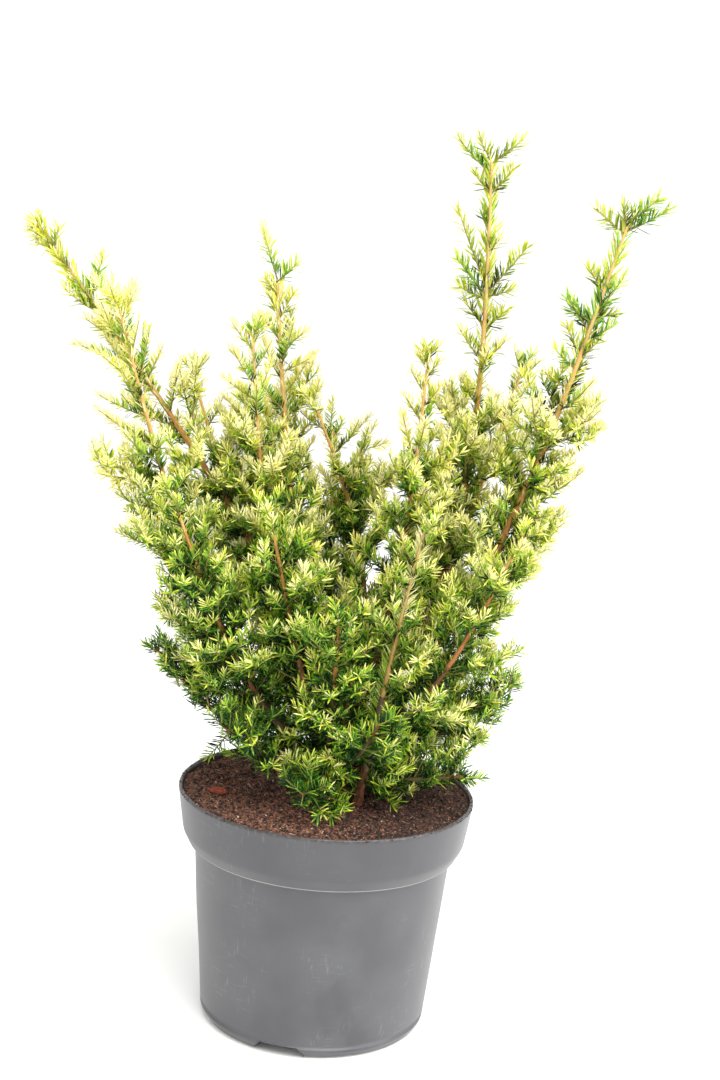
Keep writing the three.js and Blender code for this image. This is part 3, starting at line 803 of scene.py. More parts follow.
class YewPotSettings(bpy.types.PropertyGroup):
    """Sizes and colour of the pot."""

    rim_radius: length_setting("Rim radius", "Outside radius of the rim", POT_HIGH.x)
    height: length_setting("Height", "From the ground to the rim", POT_HIGH.z)
    foot_radius: length_setting("Foot radius", "Radius just over the foot's bevel", 0.1075)
    body_radius: length_setting("Body radius", "Radius under the collar", 0.122)
    band_radius: length_setting("Collar radius", "Radius at the collar's lower edge", 0.134)
    wall: length_setting("Wall", "Thickness of the plastic", 0.002)
    columns: bpy.props.IntProperty(
        name="Columns", description="Grid columns round the pot", default=240, min=72
    )
    tint: colour_setting("Plastic", "Colour of the clean plastic", "#49494D")


class YewSoilSettings(bpy.types.PropertyGroup):
    """The soil and what lies on it."""

    relief: length_setting("Relief", "Height of the lumps", 0.0022)
    crumbs: count_setting("Crumbs", "Loose crumbs of peat", 8100)
    fibres: count_setting("Fibres", "Loose fibres of peat", 2600)
    tint: colour_setting("Peat", "Colour of the peat's crumbs", "#6E4A39")


class YewBarkSettings(bpy.types.PropertyGroup):
    """The trunk and the boughs."""

    relief: bpy.props.FloatProperty(
        name="Relief", description="Depth of the ridges as a share of the radius", default=0.09
    )
    tint: colour_setting("Bark", "Colour of the scales", "#6E4A36")


class YewGrowthSettings(bpy.types.PropertyGroup):
    """Shoots and needles."""

    seed: bpy.props.IntProperty(name="Seed", description="Start of the finer shoots' luck", default=11)
    branch_pitch: length_setting("Branch pitch", "Distance between branches of a side shoot", 0.0070)
    needle_length: length_setting("Needle length", "Length of a full-grown needle", 0.0118)
    needle_width: length_setting("Needle width", "Width of a needle at its widest", 0.0014)
    needle_pitch: length_setting("Needle pitch", "Distance along a shoot between needles", 0.00095)


class YewStageSettings(bpy.types.PropertyGroup):
    """Camera, light and floor."""

    focal: bpy.props.FloatProperty(
        name="Focal length", description="With a sensor 36 mm long", default=60.0, unit="CAMERA"
    )
    pitch: angle_setting("Pitch", "How far the camera looks down", 10.874)
    yaw: angle_setting("Yaw", "How far it looks to the plant's right", 0.491)
    roll: angle_setting("Roll", "How far it leans to its left", 4.273)
    place: bpy.props.FloatVectorProperty(
        name="Camera", description="Where the camera stands", default=tuple(EYE),
        subtype="XYZ", unit="LENGTH",
    )
    floor_tint: colour_setting("Floor", "Colour of the floor", "#FAFAF8")


# ----------------------------------------------------------------------------------------------------------
# Pot and soil
# ----------------------------------------------------------------------------------------------------------

BAND_BOTTOM = 0.184  # the deep collar under the rim ends here
SEAM, SEAM_RADIUS = 0.172, 0.127
FOOT_BEVEL, BASE_RADIUS, FLOOR = 0.008, 0.102, 0.003
NOTCH_COUNT, NOTCH_FIRST, NOTCH_HEIGHT = 3, -105, 0.011
NOTCH_TOP, NOTCH_BOTTOM, NOTCH_DEPTH = 0.034, 0.050, 0.036
NOTCH_CENTRES = np.radians(NOTCH_FIRST + np.arange(NOTCH_COUNT) * 360 / NOTCH_COUNT)
# Painted shade on the soil, where the plant's shade falls: none from the left up to the first x, full from
# the second on.
PAINTED_SHADE_FROM, PAINTED_SHADE_FULL = 0.0, 0.070
SOIL_EDGE, SOIL_BOTTOM = 0.1352, 0.0145
CRUMB_REACH, FIBRE_REACH, FIBRE_LIMIT = 0.1335, 0.127, 0.134
CHIP_X, CHIP_Y, CHIP_TURN = -0.102, -0.026, 24
CHIP_LENGTH, CHIP_WIDTH, CHIP_THICKNESS = 0.0090, 0.0074, 0.0008  # from its middle, so half of each
RIM_GRAINS = 420


def softened(profile, radii, step):
    """A profile of [radius, height] points with each corner rounded by the curve a (1-t)^2 + 2 c t (1-t) +
    b t^2 between points at the given distance before and after it, and then cut into short steps."""
    profile = np.array(profile, float)
    line = [profile[:1]]
    for corner in range(1, len(profile) - 1):
        here = profile[corner]
        before, after = profile[corner - 1] - here, profile[corner + 1] - here
        cut = min(radii[corner], np.linalg.norm(before) * 0.45, np.linalg.norm(after) * 0.45)
        a, b = here + before / np.linalg.norm(before) * cut, here + after / np.linalg.norm(after) * cut
        t = np.linspace(0, 1, 6)[:, None]
        line.append(a * (1 - t) ** 2 + 2 * here * t * (1 - t) + b * t**2)
    line.append(profile[-1:])
    line = np.concatenate(line)
    spans = np.maximum(np.ceil(np.linalg.norm(np.diff(line, axis=0), axis=1) / step).astype(int), 1)
    parts = [mix(line[i], line[i + 1], np.arange(n)[:, None] / n) for i, n in enumerate(spans)]
    return np.concatenate([*parts, line[-1:]])


def notch_lift(angle, radius, height):
    """Height of a drain notch's roof at each angle: a trapezium that rises from its foot's width to its
    roof's width, where the pot's skin lies further out than the notch's inner end."""
    off = np.abs((angle[:, None] - NOTCH_CENTRES + math.pi) % TURN - math.pi).min(1) * BASE_RADIUS
    slope = np.clip((NOTCH_BOTTOM / 2 - off) / ((NOTCH_BOTTOM - NOTCH_TOP) / 2), 0, 1)
    return slope[None] * (radius > BASE_RADIUS - NOTCH_DEPTH)[:, None] * height


class YEW_OT_pot(bpy.types.Operator):
    """Make the nursery pot, with its collar, rolled rim and drain notches"""

    bl_idname = "yew.pot"
    bl_label = "Pot"

    def execute(self, context):
        size = context.scene.yew_pot
        wall, top = size.wall, size.height
        outer = [
            (0.001, 0),
            (BASE_RADIUS - NOTCH_DEPTH - 0.0005, 0),
            (BASE_RADIUS - NOTCH_DEPTH + 0.0005, 0),
            (BASE_RADIUS, 0),
            (size.foot_radius, FOOT_BEVEL),
            (size.foot_radius + 0.0002, NOTCH_HEIGHT - 0.0005),
            (size.foot_radius + 0.0003, NOTCH_HEIGHT + 0.0005),
            (size.body_radius, SEAM - wall),
            (SEAM_RADIUS, SEAM),
            (SEAM_RADIUS + 0.0010, SEAM + 0.0006),
            (size.band_radius, BAND_BOTTOM),
            (size.rim_radius - 0.0002, top - wall * 1.6),
            (size.rim_radius, top - wall),
            (size.rim_radius - wall / 2, top),
            (size.rim_radius - wall * 1.5, top),
            (size.rim_radius - wall * 2, top - wall),
            (size.band_radius - wall, BAND_BOTTOM + wall),
            (size.body_radius - wall, SEAM),
            (size.foot_radius - wall, FOOT_BEVEL),
            (BASE_RADIUS - wall, FLOOR),
            (0.001, FLOOR),
        ]
        rounding = [0, 0, 0, 0.002, 0.001, 0, 0, 0.003, 0.0004, 0.0004, 0.003, 0.001, 0.001, 0.0008, 0.0008,
                    0.001, 0.004, 0.004, 0.004, 0.002, 0]
        line = softened(outer, rounding, 0.005)
        corners = np.array([NOTCH_BOTTOM, NOTCH_TOP, -NOTCH_TOP, -NOTCH_BOTTOM]) / 2 / BASE_RADIUS
        edges = NOTCH_CENTRES[:, None] + corners
        angle = np.concatenate([np.arange(size.columns) * TURN / size.columns, edges.ravel() % TURN])
        angle = np.sort(angle)
        radius, level = line[:, :1] + 0 * angle, line[:, 1:] + 0 * angle
        inside = np.arange(len(line)) > np.argmax(line[:, 1])
        lift = notch_lift(angle, line[:, 0], NOTCH_HEIGHT)
        lift = np.where(inside[:, None] & (lift > 0), lift + wall, lift)
        level = np.maximum(level, lift)
        # The moulding is never quite round: it wanders by a third of a millimetre.
        wander = lattice_noise(angle / TURN * 6 + 0 * radius, level * 18, 5, wrap=6) * 0.00035
        radius = radius + np.where(radius > BASE_RADIUS, wander, 0)
        points = np.stack([radius * np.cos(angle), radius * np.sin(angle), level], -1).reshape(-1, 3)
        ends = [(0, 0, 0), (0, 0, FLOOR)]
        faces = ring_faces(len(line), len(angle))
        add_piece("pot_moulding", np.concatenate([points, ends]), faces,
                  [nursery_plastic(size.tint)], ["pot"])
        return {"FINISHED"}


def soil_height(x, y, relief):
    """Height of the soil: flat where the trunk stands and a little higher at the wall, with lumps of all
    sizes from 20 mm down to 2 mm."""
    banked = 0.0012 * np.clip((np.hypot(x, y) - 0.060) / 0.075, 0, 1)
    coarse = rough_noise(x * 55 + 40, y * 55 + 40, 21)
    fine = rough_noise(x * 240 + 90, y * 240 + 90, 22)
    return SOIL_HIGH.z - 0.0012 + banked + relief * (0.6 * coarse + 0.5 * fine)


def scattered(luck, count, reach):
    """count places spread evenly over a disc: radius by the square root of a throw."""
    away = reach * np.sqrt(luck.random(count))
    angle = luck.random(count) * TURN
    return away * np.cos(angle), away * np.sin(angle)


def icosahedron():
    """Its 12 corners, at 1 from its centre, and its 20 faces: each three corners that are all neighbours."""
    golden = (1 + 5**0.5) / 2
    corners = [(0, a, b * golden) for a in (-1, 1) for b in (-1, 1)]
    corners = np.array([np.roll(c, k) for k in range(3) for c in corners]) / math.hypot(1, golden)
    trios = np.array(list(itertools.combinations(range(12), 3)))
    edges = np.linalg.norm(corners[trios] - corners[np.roll(trios, 1, 1)], axis=-1)
    faces = trios[(edges < 1.1).all(1)]
    outward = np.linalg.det(corners[faces]) > 0
    return corners, np.where(outward[:, None], faces, faces[:, [0, 2, 1]])


LUMP_CORNERS, LUMP_FACES = icosahedron()


def lump_points(luck, centres, sizes, flatness):
    """A crumb at each centre: the corners of an icosahedron, pushed in and out at random, turned, and
    flattened."""
    count = len(centres)
    shape = LUMP_CORNERS * luck.uniform(0.62, 1.15, (count, 12, 1)) * luck.uniform(0.6, 1.3, (count, 1, 3))
    axis = unit(luck.normal(size=(count, 1, 3)))
    shape = swung(shape, axis + 0 * shape, luck.uniform(0, TURN, (count, 1)) + np.zeros((count, 12)))
    shape[..., 2] *= flatness
    return centres[:, None] + shape * sizes[:, None, None]


def lies_in_painted_shade(luck, x):
    """True for most of the small things in the painted shade on the right, and for none on the left."""
    return luck.random(len(x)) < 0.75 * np.clip((x - PAINTED_SHADE_FROM) / (PAINTED_SHADE_FULL - PAINTED_SHADE_FROM), 0, 1)


def scatter_lumps(name, luck, count, sizes, flatness, tint, relief):
    """Crumbs strewn over the soil, half sunk in it. Those in the painted shade on the right are painted at
    two fifths of their colour.
    """
    # painted shade: a darker copy of the crumbs' colour for the shaded right side
    shaded_tint = (*[0.4 * part for part in tint[:3]], 1)
    looks = [plain(f"peat_{name}", tint, 0.9), plain(f"peat_{name}_shaded", shaded_tint, 0.8)]
    x, y = scattered(luck, count, CRUMB_REACH)
    size = luck.uniform(*sizes, count)
    centres = np.stack([x, y, soil_height(x, y, relief) + size * flatness * 0.25], -1)
    points = lump_points(luck, centres, size, flatness)
    kinds = [np.repeat(lies_in_painted_shade(luck, x).astype(int), len(LUMP_FACES))]
    add_piece(name, points, [repeated(LUMP_FACES, count, 12)], looks, kinds=kinds, smooth=False)


class YEW_OT_soil(bpy.types.Operator):
    """Fill the pot with peat, with loose crumbs, fibres, pale grit and a chip of bark on top"""

    bl_idname = "yew.soil"
    bl_label = "Soil"

    def execute(self, context):
        size = context.scene.yew_soil
        relief = size.relief
        luck = np.random.default_rng(31)
        columns = 240
        angle = np.arange(columns) * TURN / columns
        reach = SOIL_EDGE * np.sqrt(np.linspace(0.0004, 1, 110))[:, None]
        x, y = reach * np.cos(angle), reach * np.sin(angle)
        top = np.stack([x, y, soil_height(x, y, relief)], -1)
        # Under its surface the soil follows the pot's inside, a little clear of it.
        skirt = [(0.1298, 0.186), (0.1192, 0.170), (0.1056, 0.016), (0.0980, SOIL_BOTTOM)]
        sides = [np.stack([r * np.cos(angle), r * np.sin(angle), 0 * angle + z], -1) for r, z in skirt]
        rings = np.concatenate([np.stack(sides[::-1]), top[::-1]])
        points = np.concatenate([rings.reshape(-1, 3), [(0, 0, SOIL_BOTTOM), (0, 0, SOIL_HIGH.z - 0.001)]])
        material = peat(size.tint)
        add_piece("peat_soil", points, ring_faces(len(rings), columns), [material], ["soil"])

        third = size.crumbs // 3
        crumbs = (
            ("dark", third, (0.0007, 0.0022), 0.7, "#2A1A14"),
            ("brown", third, (0.0006, 0.0018), 0.7, "#744D3A"),
            ("rust", third, (0.0005, 0.0013), 0.6, "#9A6850"),
            ("grit", 80, (0.0005, 0.0012), 0.8, "#D8CDC0"),
        )
        for name, count, sizes, flatness, tint in crumbs:
            scatter_lumps(f"crumbs_{name}", luck, count, sizes, flatness, colour(tint), relief)
        self.strew_fibres(luck, size.fibres, relief)
        self.lay_chip(relief)
        self.dust_rim(context, luck)
        return {"FINISHED"}

    def strew_fibres(self, luck, count, relief):
        """Thin bent fibres that lie on the crumbs: a heading that wanders, over four short steps."""
        x, y = scattered(luck, count, FIBRE_REACH)
        length = luck.uniform(0.002, 0.006, count) * luck.choice([0.7, 1, 2.4], count, p=[0.55, 0.42, 0.03])
        heading = luck.uniform(0, TURN, count)[:, None] + np.cumsum(luck.normal(0, 0.35, (count, 5)), 1)
        step = np.stack([np.cos(heading), np.sin(heading)], -1) * length[:, None, None] / 5
        flat = np.stack([x, y], -1)[:, None] + np.cumsum(step, 1)
        away = np.linalg.norm(flat, axis=-1, keepdims=True)
        flat = flat * np.minimum(1, FIBRE_LIMIT / away)
        lift = luck.uniform(0.0003, 0.0018, (count, 1)) + luck.normal(0, 0.0004, (count, 5))
        z = soil_height(flat[..., 0], flat[..., 1], relief) + np.abs(lift)
        lines = np.concatenate([flat, z[..., None]], -1)
        radii = luck.uniform(0.00015, 0.00036, (count, 1)) * np.array([0.7, 1, 1, 0.9, 0.6])
        points = tubes(lines, radii, np.tile(UP, (count, 1)), 3)
        looks = [
            plain("peat_fibre_tan", colour("#A67F66"), 0.85),
            plain("peat_fibre_rust", colour("#7E503E"), 0.85),
            plain("peat_fibre_straw", colour("#C9AD93"), 0.8),
            # painted shade: the colour of fibres in the plant's shade on the right
            plain("peat_fibre_shaded", colour("#4E3226"), 0.8),
        ]
        faces = [repeated(part, count, points.shape[1]) for part in ring_faces(5, 3)]
        kind = luck.choice(3, count, p=[0.32, 0.62, 0.06])
        # painted shade: fibres on the right take the darker shaded fibre colour
        kind = np.where(lies_in_painted_shade(luck, x), 3, kind)
        kinds = [np.repeat(kind, len(part) // count) for part in faces]
        add_piece("peat_fibres", points, faces, looks, kinds=kinds, smooth=False)

    def lay_chip(self, relief):
        """A thin chip of bark at the left: a curved plate, its edge worn by noise round its outline."""
        rings, sides = 10, 40
        angle = np.arange(sides) * TURN / sides
        outline = 1 + 0.22 * lattice_noise(angle / TURN * 7, 0 * angle, 61, wrap=7)
        share = np.concatenate([np.linspace(0.15, 1, rings), np.linspace(0.93, 0.15, rings - 2)])[:, None]
        over = np.concatenate([np.full(rings, -1.0), np.full(rings - 2, 1.0)])[:, None]
        along = share * np.cos(angle) * outline * CHIP_LENGTH
        wide = share * np.sin(angle) * outline * CHIP_WIDTH
        grain = lattice_noise(along * 200 + 9, wide * 1500 + 9, 62)
        thick = CHIP_THICKNESS * np.sqrt(np.maximum(1.02 - share**2, 0)) * over
        level = thick + 12 * along**2 + grain * 0.00025 * (over > 0)
        turn = math.radians(CHIP_TURN)
        x = CHIP_X + along * math.cos(turn) - wide * math.sin(turn)
        y = CHIP_Y + along * math.sin(turn) + wide * math.cos(turn)
        z = soil_height(np.array(CHIP_X), np.array(CHIP_Y), relief) + 0.0020 + level + 0.12 * wide
        points = np.stack([x, y, z], -1)
        ends = [points[0].mean(0), points[-1].mean(0)]
        look = scaly_bark("bark_chip", colour("#7C2F1B"), "#A34A2A", "#4A1E14")
        add_piece("bark_chip", np.concatenate([points.reshape(-1, 3), ends]),
                  ring_faces(len(points), sides), [look])

    def dust_rim(self, context, luck):
        """Grains of peat that cling to the rim."""
        pot = context.scene.yew_pot
        angle = luck.uniform(0, TURN, RIM_GRAINS)
        away = pot.rim_radius + luck.uniform(-0.0042, 0.0002, RIM_GRAINS)
        drop = np.where(away > pot.rim_radius - 0.001, 0.0012, 0.0)
        centres = np.stack([away * np.cos(angle), away * np.sin(angle), pot.height - drop + 0 * angle], -1)
        points = lump_points(luck, centres, luck.uniform(0.0004, 0.0011, RIM_GRAINS), 0.7)
        look = plain("peat_crumb_rim", colour("#2B1D17"), 0.9)
        add_piece("crumbs_rim", points, [repeated(LUMP_FACES, RIM_GRAINS, 12)], [look], smooth=False)


# ----------------------------------------------------------------------------------------------------------
# Bark
# ----------------------------------------------------------------------------------------------------------

TRUNK_FOOT, TRUNK_TOP, TRUNK_FLARE, TRUNK_FADE, TRUNK_LEAN = 0.016, 0.011, 0.5, 6, 0.003
TRUNK_SUNK = 0.004  # how far the trunk goes on under its solid's foot
BUTTRESSES, BUTTRESS_DEPTH, BUTTRESS_FADE = 5, 0.11, 5
COLLAR, COLLAR_FADE = 0.25, 14


def bark_relief(rings, sides, length, girth, seed, depth):
    """1 + depth (ridges that run up the limb and drift round it + scales that break them), by noise on the
    limb's own skin: steps of girth / 9 round it and of 7 mm along it."""
    around = np.arange(sides) / sides
    up = np.linspace(0, length, rings)[:, None]
    drift = 0.08 * np.sin(up * 60 + seed)
    ridges = lattice_noise((around + drift) % 1 * 9, up * 45 + seed * 7, 70 + seed % 40, wrap=9)
    scales = lattice_noise((around - drift) % 1 * 18, up * 300 + seed * 3, 120 + seed % 40, wrap=18)
    return 1 + depth * (ridges + 0.6 * scales) * np.clip(girth / 0.02, 0.5, 1.3)


class YEW_OT_bark(bpy.types.Operator):
    """Make the flared trunk and the bare boughs, with the relief of their bark"""

    bl_idname = "yew.bark"
    bl_label = "Trunk and boughs"

    def execute(self, context):
        size = context.scene.yew_bark
        rings, sides = 72, 72
        along = np.linspace(0, 1, rings)
        height = TRUNK_HIGH.z - TRUNK_LOW.z
        flared = mix(TRUNK_FOOT, TRUNK_TOP, along) * (1 + TRUNK_FLARE * np.exp(-TRUNK_FADE * along))
        level = TRUNK_LOW.z - TRUNK_SUNK + (height + TRUNK_SUNK) * along
        line = np.stack([TRUNK_LEAN * along, 0 * along, level], -1)
        relief = bark_relief(rings, sides, height, 0.09, 3, size.relief)
        # Root buttresses: lobes round the trunk that fade upwards.
        lobes = np.cos(BUTTRESSES * np.arange(sides) * TURN / sides + 0.6)
        relief = relief + BUTTRESS_DEPTH * (lobes * np.exp(-BUTTRESS_FADE * along)[:, None])
        trunk = tubes(line[None], flared[None], np.array([[1.0, 0, 0]]), sides, relief[None])
        points = [trunk.reshape(-1, 3)]
        faces = [ring_faces(rings, sides)]
        rings, sides = 44, 24
        for stem in stems:
            t = np.linspace(0, stem.bare + 0.004 / stem.length, rings)
            radius = stem.radius(t) * (1 + COLLAR * np.exp(-COLLAR_FADE * t))
            line = stem.point(t)
            relief = bark_relief(rings, sides, t[-1] * stem.length, TURN * stem.root, stem.index,
                                 size.relief)
            bough = tubes(line[None], radius[None], stem.sideways[None], sides, relief[None])
            shift = sum(len(part) for part in points)
            points.append(bough.reshape(-1, 3))
            faces.append([part + shift for part in ring_faces(rings, sides)])
        quads, triangles = (np.concatenate(kind) for kind in zip(*faces))
        look = scaly_bark("yew_bark", size.tint, "#A0613F", "#402A20")
        nodes = ["trunk", *[f"bough_{stem.name}" for stem in stems]]
        add_piece("trunk_and_boughs", np.concatenate(points), [quads, triangles], [look], nodes)
        return {"FINISHED"}


# ----------------------------------------------------------------------------------------------------------
# Shoots and needles
# ----------------------------------------------------------------------------------------------------------

# Bark by age, from the foot of a stem to its tip.
STEM_BARKS = ("#6B5A40", "#8A5C3C", "#AD713F", "#BD8647", "#C39A58", "#C2A262")
TWIG_BARKS = ("#938640", "#878C3E", "#80903D")
# Needles by age, with painted light: the waxy upper face and the paler face under it. Each tone comes first
# with the crown's shade painted in, then as a sunlit copy with full sun painted in.
NEEDLE_TONES = (
    ("gold", "#E8E486", "#EAE6A8"),
    ("straw", "#CFD048", "#D2D474"),
    ("lime", "#A2BA2E", "#B2C84E"),
    ("fresh", "#709E20", "#8AB03A"),
    ("leaf", "#447818", "#5E8A2A"),
    ("deep", "#1F4812", "#38641E"),
    ("shade", "#102A0A", "#244416"),
    ("sunlit_gold", "#ECE492", "#ECE6B0"),
    ("sunlit_straw", "#DAD450", "#DAD67E"),
    ("sunlit_lime", "#BEC434", "#C8CC5A"),
    ("sunlit_fresh", "#96A81C", "#A8B638"),
    ("sunlit_leaf", "#667E14", "#7C9026"),
    ("sunlit_deep", "#405010", "#586818"),
    ("sunlit_shade", "#223008", "#384810"),
)
TONE_COUNT = len(NEEDLE_TONES) // 2
# A needle is a blade with a flat upper face and a keel under it. Its points are the right and left of its
# foot, the right, left and keel at BLADE_WIDEST of its length, and its tip. The last three triangles are the
# outer part, which takes a tone nearer to gold.
BLADE_FOOT, BLADE_WIDEST, BLADE_KEEL = 0.75, 0.64, 0.45
BLADE_QUADS = np.array([(0, 1, 3, 2)])
BLADE_TRIANGLES = np.array([(1, 4, 3), (0, 2, 4), (0, 4, 1), (2, 3, 5), (3, 4, 5), (4, 2, 5)])
BLADE_POINTS = 6
# The share of sunlit copies, with their painted sunlight, grows from 0 at SUN_FROM, over SUN_OVER of height
# for a full share of 1, up to SUN_MOST in the crown and SUN_LEADER more on the leaders.
SUN_FROM, SUN_OVER, SUN_MOST, SUN_LEADER = 0.47, 0.13, 0.55, 0.30
FULL_GOLD, EVEN_GOLD = 0.78, 0.52  # the top of the scale of gold, and what the sunlit crown tends to


def bark_looks():
    """Young yew bark: smooth, satin, orange tan on a leader and olive on the last year's wood."""
    tints = [*STEM_BARKS, *TWIG_BARKS]
    return [plain(f"young_bark_{k}", colour(tint), 0.62, IOR=1.45) for k, tint in enumerate(tints)]


def needle_looks():
    """Yew needles: a waxy cuticle that shines a little, over leaf green or the form's gold. Each tone has
    its upper face and its matt, paler underside."""
    looks = []
    for name, upper, under in NEEDLE_TONES:
        looks.append(plain(f"needle_{name}", colour(upper), 0.42, IOR=1.42, Specular_IOR_Level=0.3))
        looks.append(plain(f"needle_{name}_under", colour(under), 0.55, IOR=1.42, Specular_IOR_Level=0.2))
    return looks


def stem_runs(stem):
    """The leafy part of a stem as short straight runs, which bear its own needles: all round, or on the free
    stem at the front and on the leaders over the crown mostly to its left and right."""
    is_free = stem.index == FREE_INDEX
    cuts = np.linspace(0.2 if is_free else max(stem.bare + 0.05, 0.34), stem.tip, 25)
    ends = stem.point(cuts)
    runs = np.zeros(len(cuts) - 1, SHOOT)
    runs["stem"] = stem.index
    runs["share"] = cuts[:-1] / stem.tip
    runs["root"] = ends[:-1]
    steps = np.diff(ends, axis=0)
    runs["length"] = np.linalg.norm(steps, axis=1)
    runs["heading"] = unit(steps)
    runs["radial"] = 0.4 if is_free else mix(1, 0.35, over_crown(runs))
    two_sided = runs["radial"][:, None] < 0.7
    runs["side"] = across(np.where(two_sided, [1.0, 0, 0], stem.sideways), runs["heading"])
    runs["thick"] = stem.radius(cuts[:-1])
    runs["bloom"] = 1.0 if is_free else 0.5
    return runs


def needle_rows(shoots, growth, luck):
    """One row for each needle: its shoot and its share along it. On a stem they stand further apart, but for
    the free stem, and high in the crown closer together."""
    on_stem = np.where(shoots["stem"] == FREE_INDEX, 0.6, mix(1.35, 1.20, over_crown(shoots)))
    on_shoot = mix(1.0, 0.70, crown_share(shoots)) - 0.22 * over_crown(shoots)
    closeness = np.where(shoots["order"] == 0, on_stem, on_shoot)
    counts = np.maximum(np.round(shoots["length"] / (growth.needle_pitch * closeness)).astype(int), 2)
    owner, k = dealt(counts)
    first = np.where(shoots["order"] == 0, 0, np.minimum(0.12, 0.004 / shoots["length"]))[owner]
    s = mix(first, 1, (k + luck.uniform(0.1, 0.9, len(k))) / counts[owner])
    return owner, k, s


def crown_share(shoots):
    """How high a shoot stands: 0 in the shaded lower crown, 1 in the sunlit upper one, and back to 0 on the
    leaders over it."""
    level = shoots["root"][:, 2]
    return np.clip((level - CROWN_FROM) / CROWN_OVER, 0, 1) * (1 - over_crown(shoots))


def over_crown(shoots):
    """0 within the crown and 1 on the leaders that stand over it."""
    return np.clip((shoots["root"][:, 2] - LEADER_FROM) / LEADER_OVER, 0, 1)


def needle_points(shoots, growth, luck):
    """The points of all needles, BLADE_POINTS to each, and the shoot and share that each sits at.

    A needle's line is root + d L u + n L bend u^2 + b L sickle u^2 + f L 0.12 u^2, with d along it, n out of
    its upper face, b across it and f the way its shoot goes. On a side shoot the needles lie in two ranks
    that make a V, which is narrower and has shorter needles high in the crown, and on a leader they stand
    all round and are longer."""
    owner, k, s = needle_rows(shoots, growth, luck)
    shoot = shoots[owner]
    count = len(owner)
    ahead = shoot_ahead(shoot, s)
    side = across(shoot["side"], ahead)
    up = np.cross(ahead, side)
    up = up * np.where(up[:, 2:] + 0.12 * (up * shoot["root"]).sum(1, keepdims=True) < 0, -1, 1)
    high = crown_share(shoot)
    in_rank = np.where(k % 2, 1, -1) * np.radians(mix(66, 44, high)) + luck.normal(0, 0.34, count)
    all_round = np.radians(k * GOLDEN_ANGLE) + luck.uniform(-0.5, 0.5, count)
    stands_round = luck.random(count) < shoot["radial"]
    turn = np.where(stands_round, all_round, in_rank)
    out = up * np.cos(turn)[:, None] + side * np.sin(turn)[:, None]
    is_leader = shoot["order"] == 0
    near_tip = np.clip(np.where(is_leader, (shoot["share"] - 0.97) / 0.03, (s - 0.72) / 0.28), 0, 1)
    tall = over_crown(shoot)
    open_angle = np.where(is_leader, mix(56, 40, tall), 62) - 28 * near_tip + luck.normal(0, 7, count)
    open_angle = np.radians(open_angle)[:, None]
    d = unit(ahead * np.cos(open_angle) + out * np.sin(open_angle) + UP * 0.12)
    faces_up = np.where(stands_round[:, None], ahead, up + 0.25 * ahead)
    n = across(faces_up + luck.normal(0, 0.16, (count, 3)), d)
    b = np.cross(n, d)
    size = 1 - 0.25 * near_tip - 0.30 * np.clip((0.15 - s) / 0.15, 0, 1) * ~is_leader
    size = size * luck.uniform(0.82, 1.12, count) * mix(mix(1, 0.80, high), 1.24, tall)
    size = size * np.where(is_leader, 1.2, 1)
    length = (growth.needle_length * size)[:, None]
    wide = growth.needle_width * luck.uniform(0.85, 1.1, count) * mix(mix(0.95, 1.05, high), 1.25, tall)
    half = wide[:, None] / 2
    root = shoot_point(shoot, s) + out * (mix(shoot["thick"], TWIG_TIP, s * ~is_leader) * 0.8)[:, None]
    curve = n * luck.normal(-0.04, 0.07, (count, 1)) + b * luck.normal(0, 0.06, (count, 1))
    curve = curve + 0.12 * across(ahead, d)
    middle = root + length * (d * BLADE_WIDEST + curve * BLADE_WIDEST**2)
    foot = b * half * BLADE_FOOT
    corners = [root + foot, root - foot, middle + b * half, middle - b * half, middle - n * half * BLADE_KEEL]
    return np.stack([*corners, root + length * (d + curve)], 1), shoot, s


def tone_of(shoot, s, luck):
    """Which tone each needle has: gold far out from its stem, near its shoot's tip and high in the crown, and
    deep green inside and low down, partly the needles' own older green and partly painted shade. The tallest
    leaders are greener again. The outer, middle and inner third of a shoot each take one tone."""
    is_leader = shoot["order"] == 0
    third = np.floor(np.clip(np.where(is_leader, shoot["share"], s), 0, 0.999) * 3) / 2
    level = shoot["root"][:, 2]
    height = np.clip((level - 0.25) / 0.32, 0, 1) ** 1.3
    axis = STEM_LINES[shoot["stem"], np.round(shoot["share"] * STEM_SAMPLES).astype(int)]
    off_stem = np.linalg.norm(shoot["root"] - axis, axis=1) + s * shoot["length"]
    off_stem = np.where(is_leader, 0.6, np.clip(off_stem / 0.055, 0, 1))
    gold = 0.12 + 0.38 * height + 0.38 * (off_stem - 0.6) + 0.46 * (third - 0.5)
    gold = gold + 0.44 * (shoot["bloom"] - 0.5) + luck.normal(0, 0.12, len(s))
    # Painted light: low down the right side is painted lighter and the left darker, as the light falls there,
    # and higher up the other way round.
    to_right = np.clip(shoot["root"][:, 0] / 0.12, -1, 1)
    gold = gold + 0.08 * to_right * (1 - 2 * np.clip((level - 0.42) / 0.20, 0, 1))
    leader_gold = np.array([stem.gold for stem in stems])[shoot["stem"]] + 0.1 * (shoot["share"] > 0.92)
    # painted light: high in the crown the tones are drawn towards an even gold, as the sun lights it there
    gold = mix(mix(gold, EVEN_GOLD, 0.15 * crown_share(shoot)), leader_gold, 0.5 * over_crown(shoot))
    return np.clip(((FULL_GOLD - gold) / FULL_GOLD * TONE_COUNT).astype(int), 0, TONE_COUNT - 1)


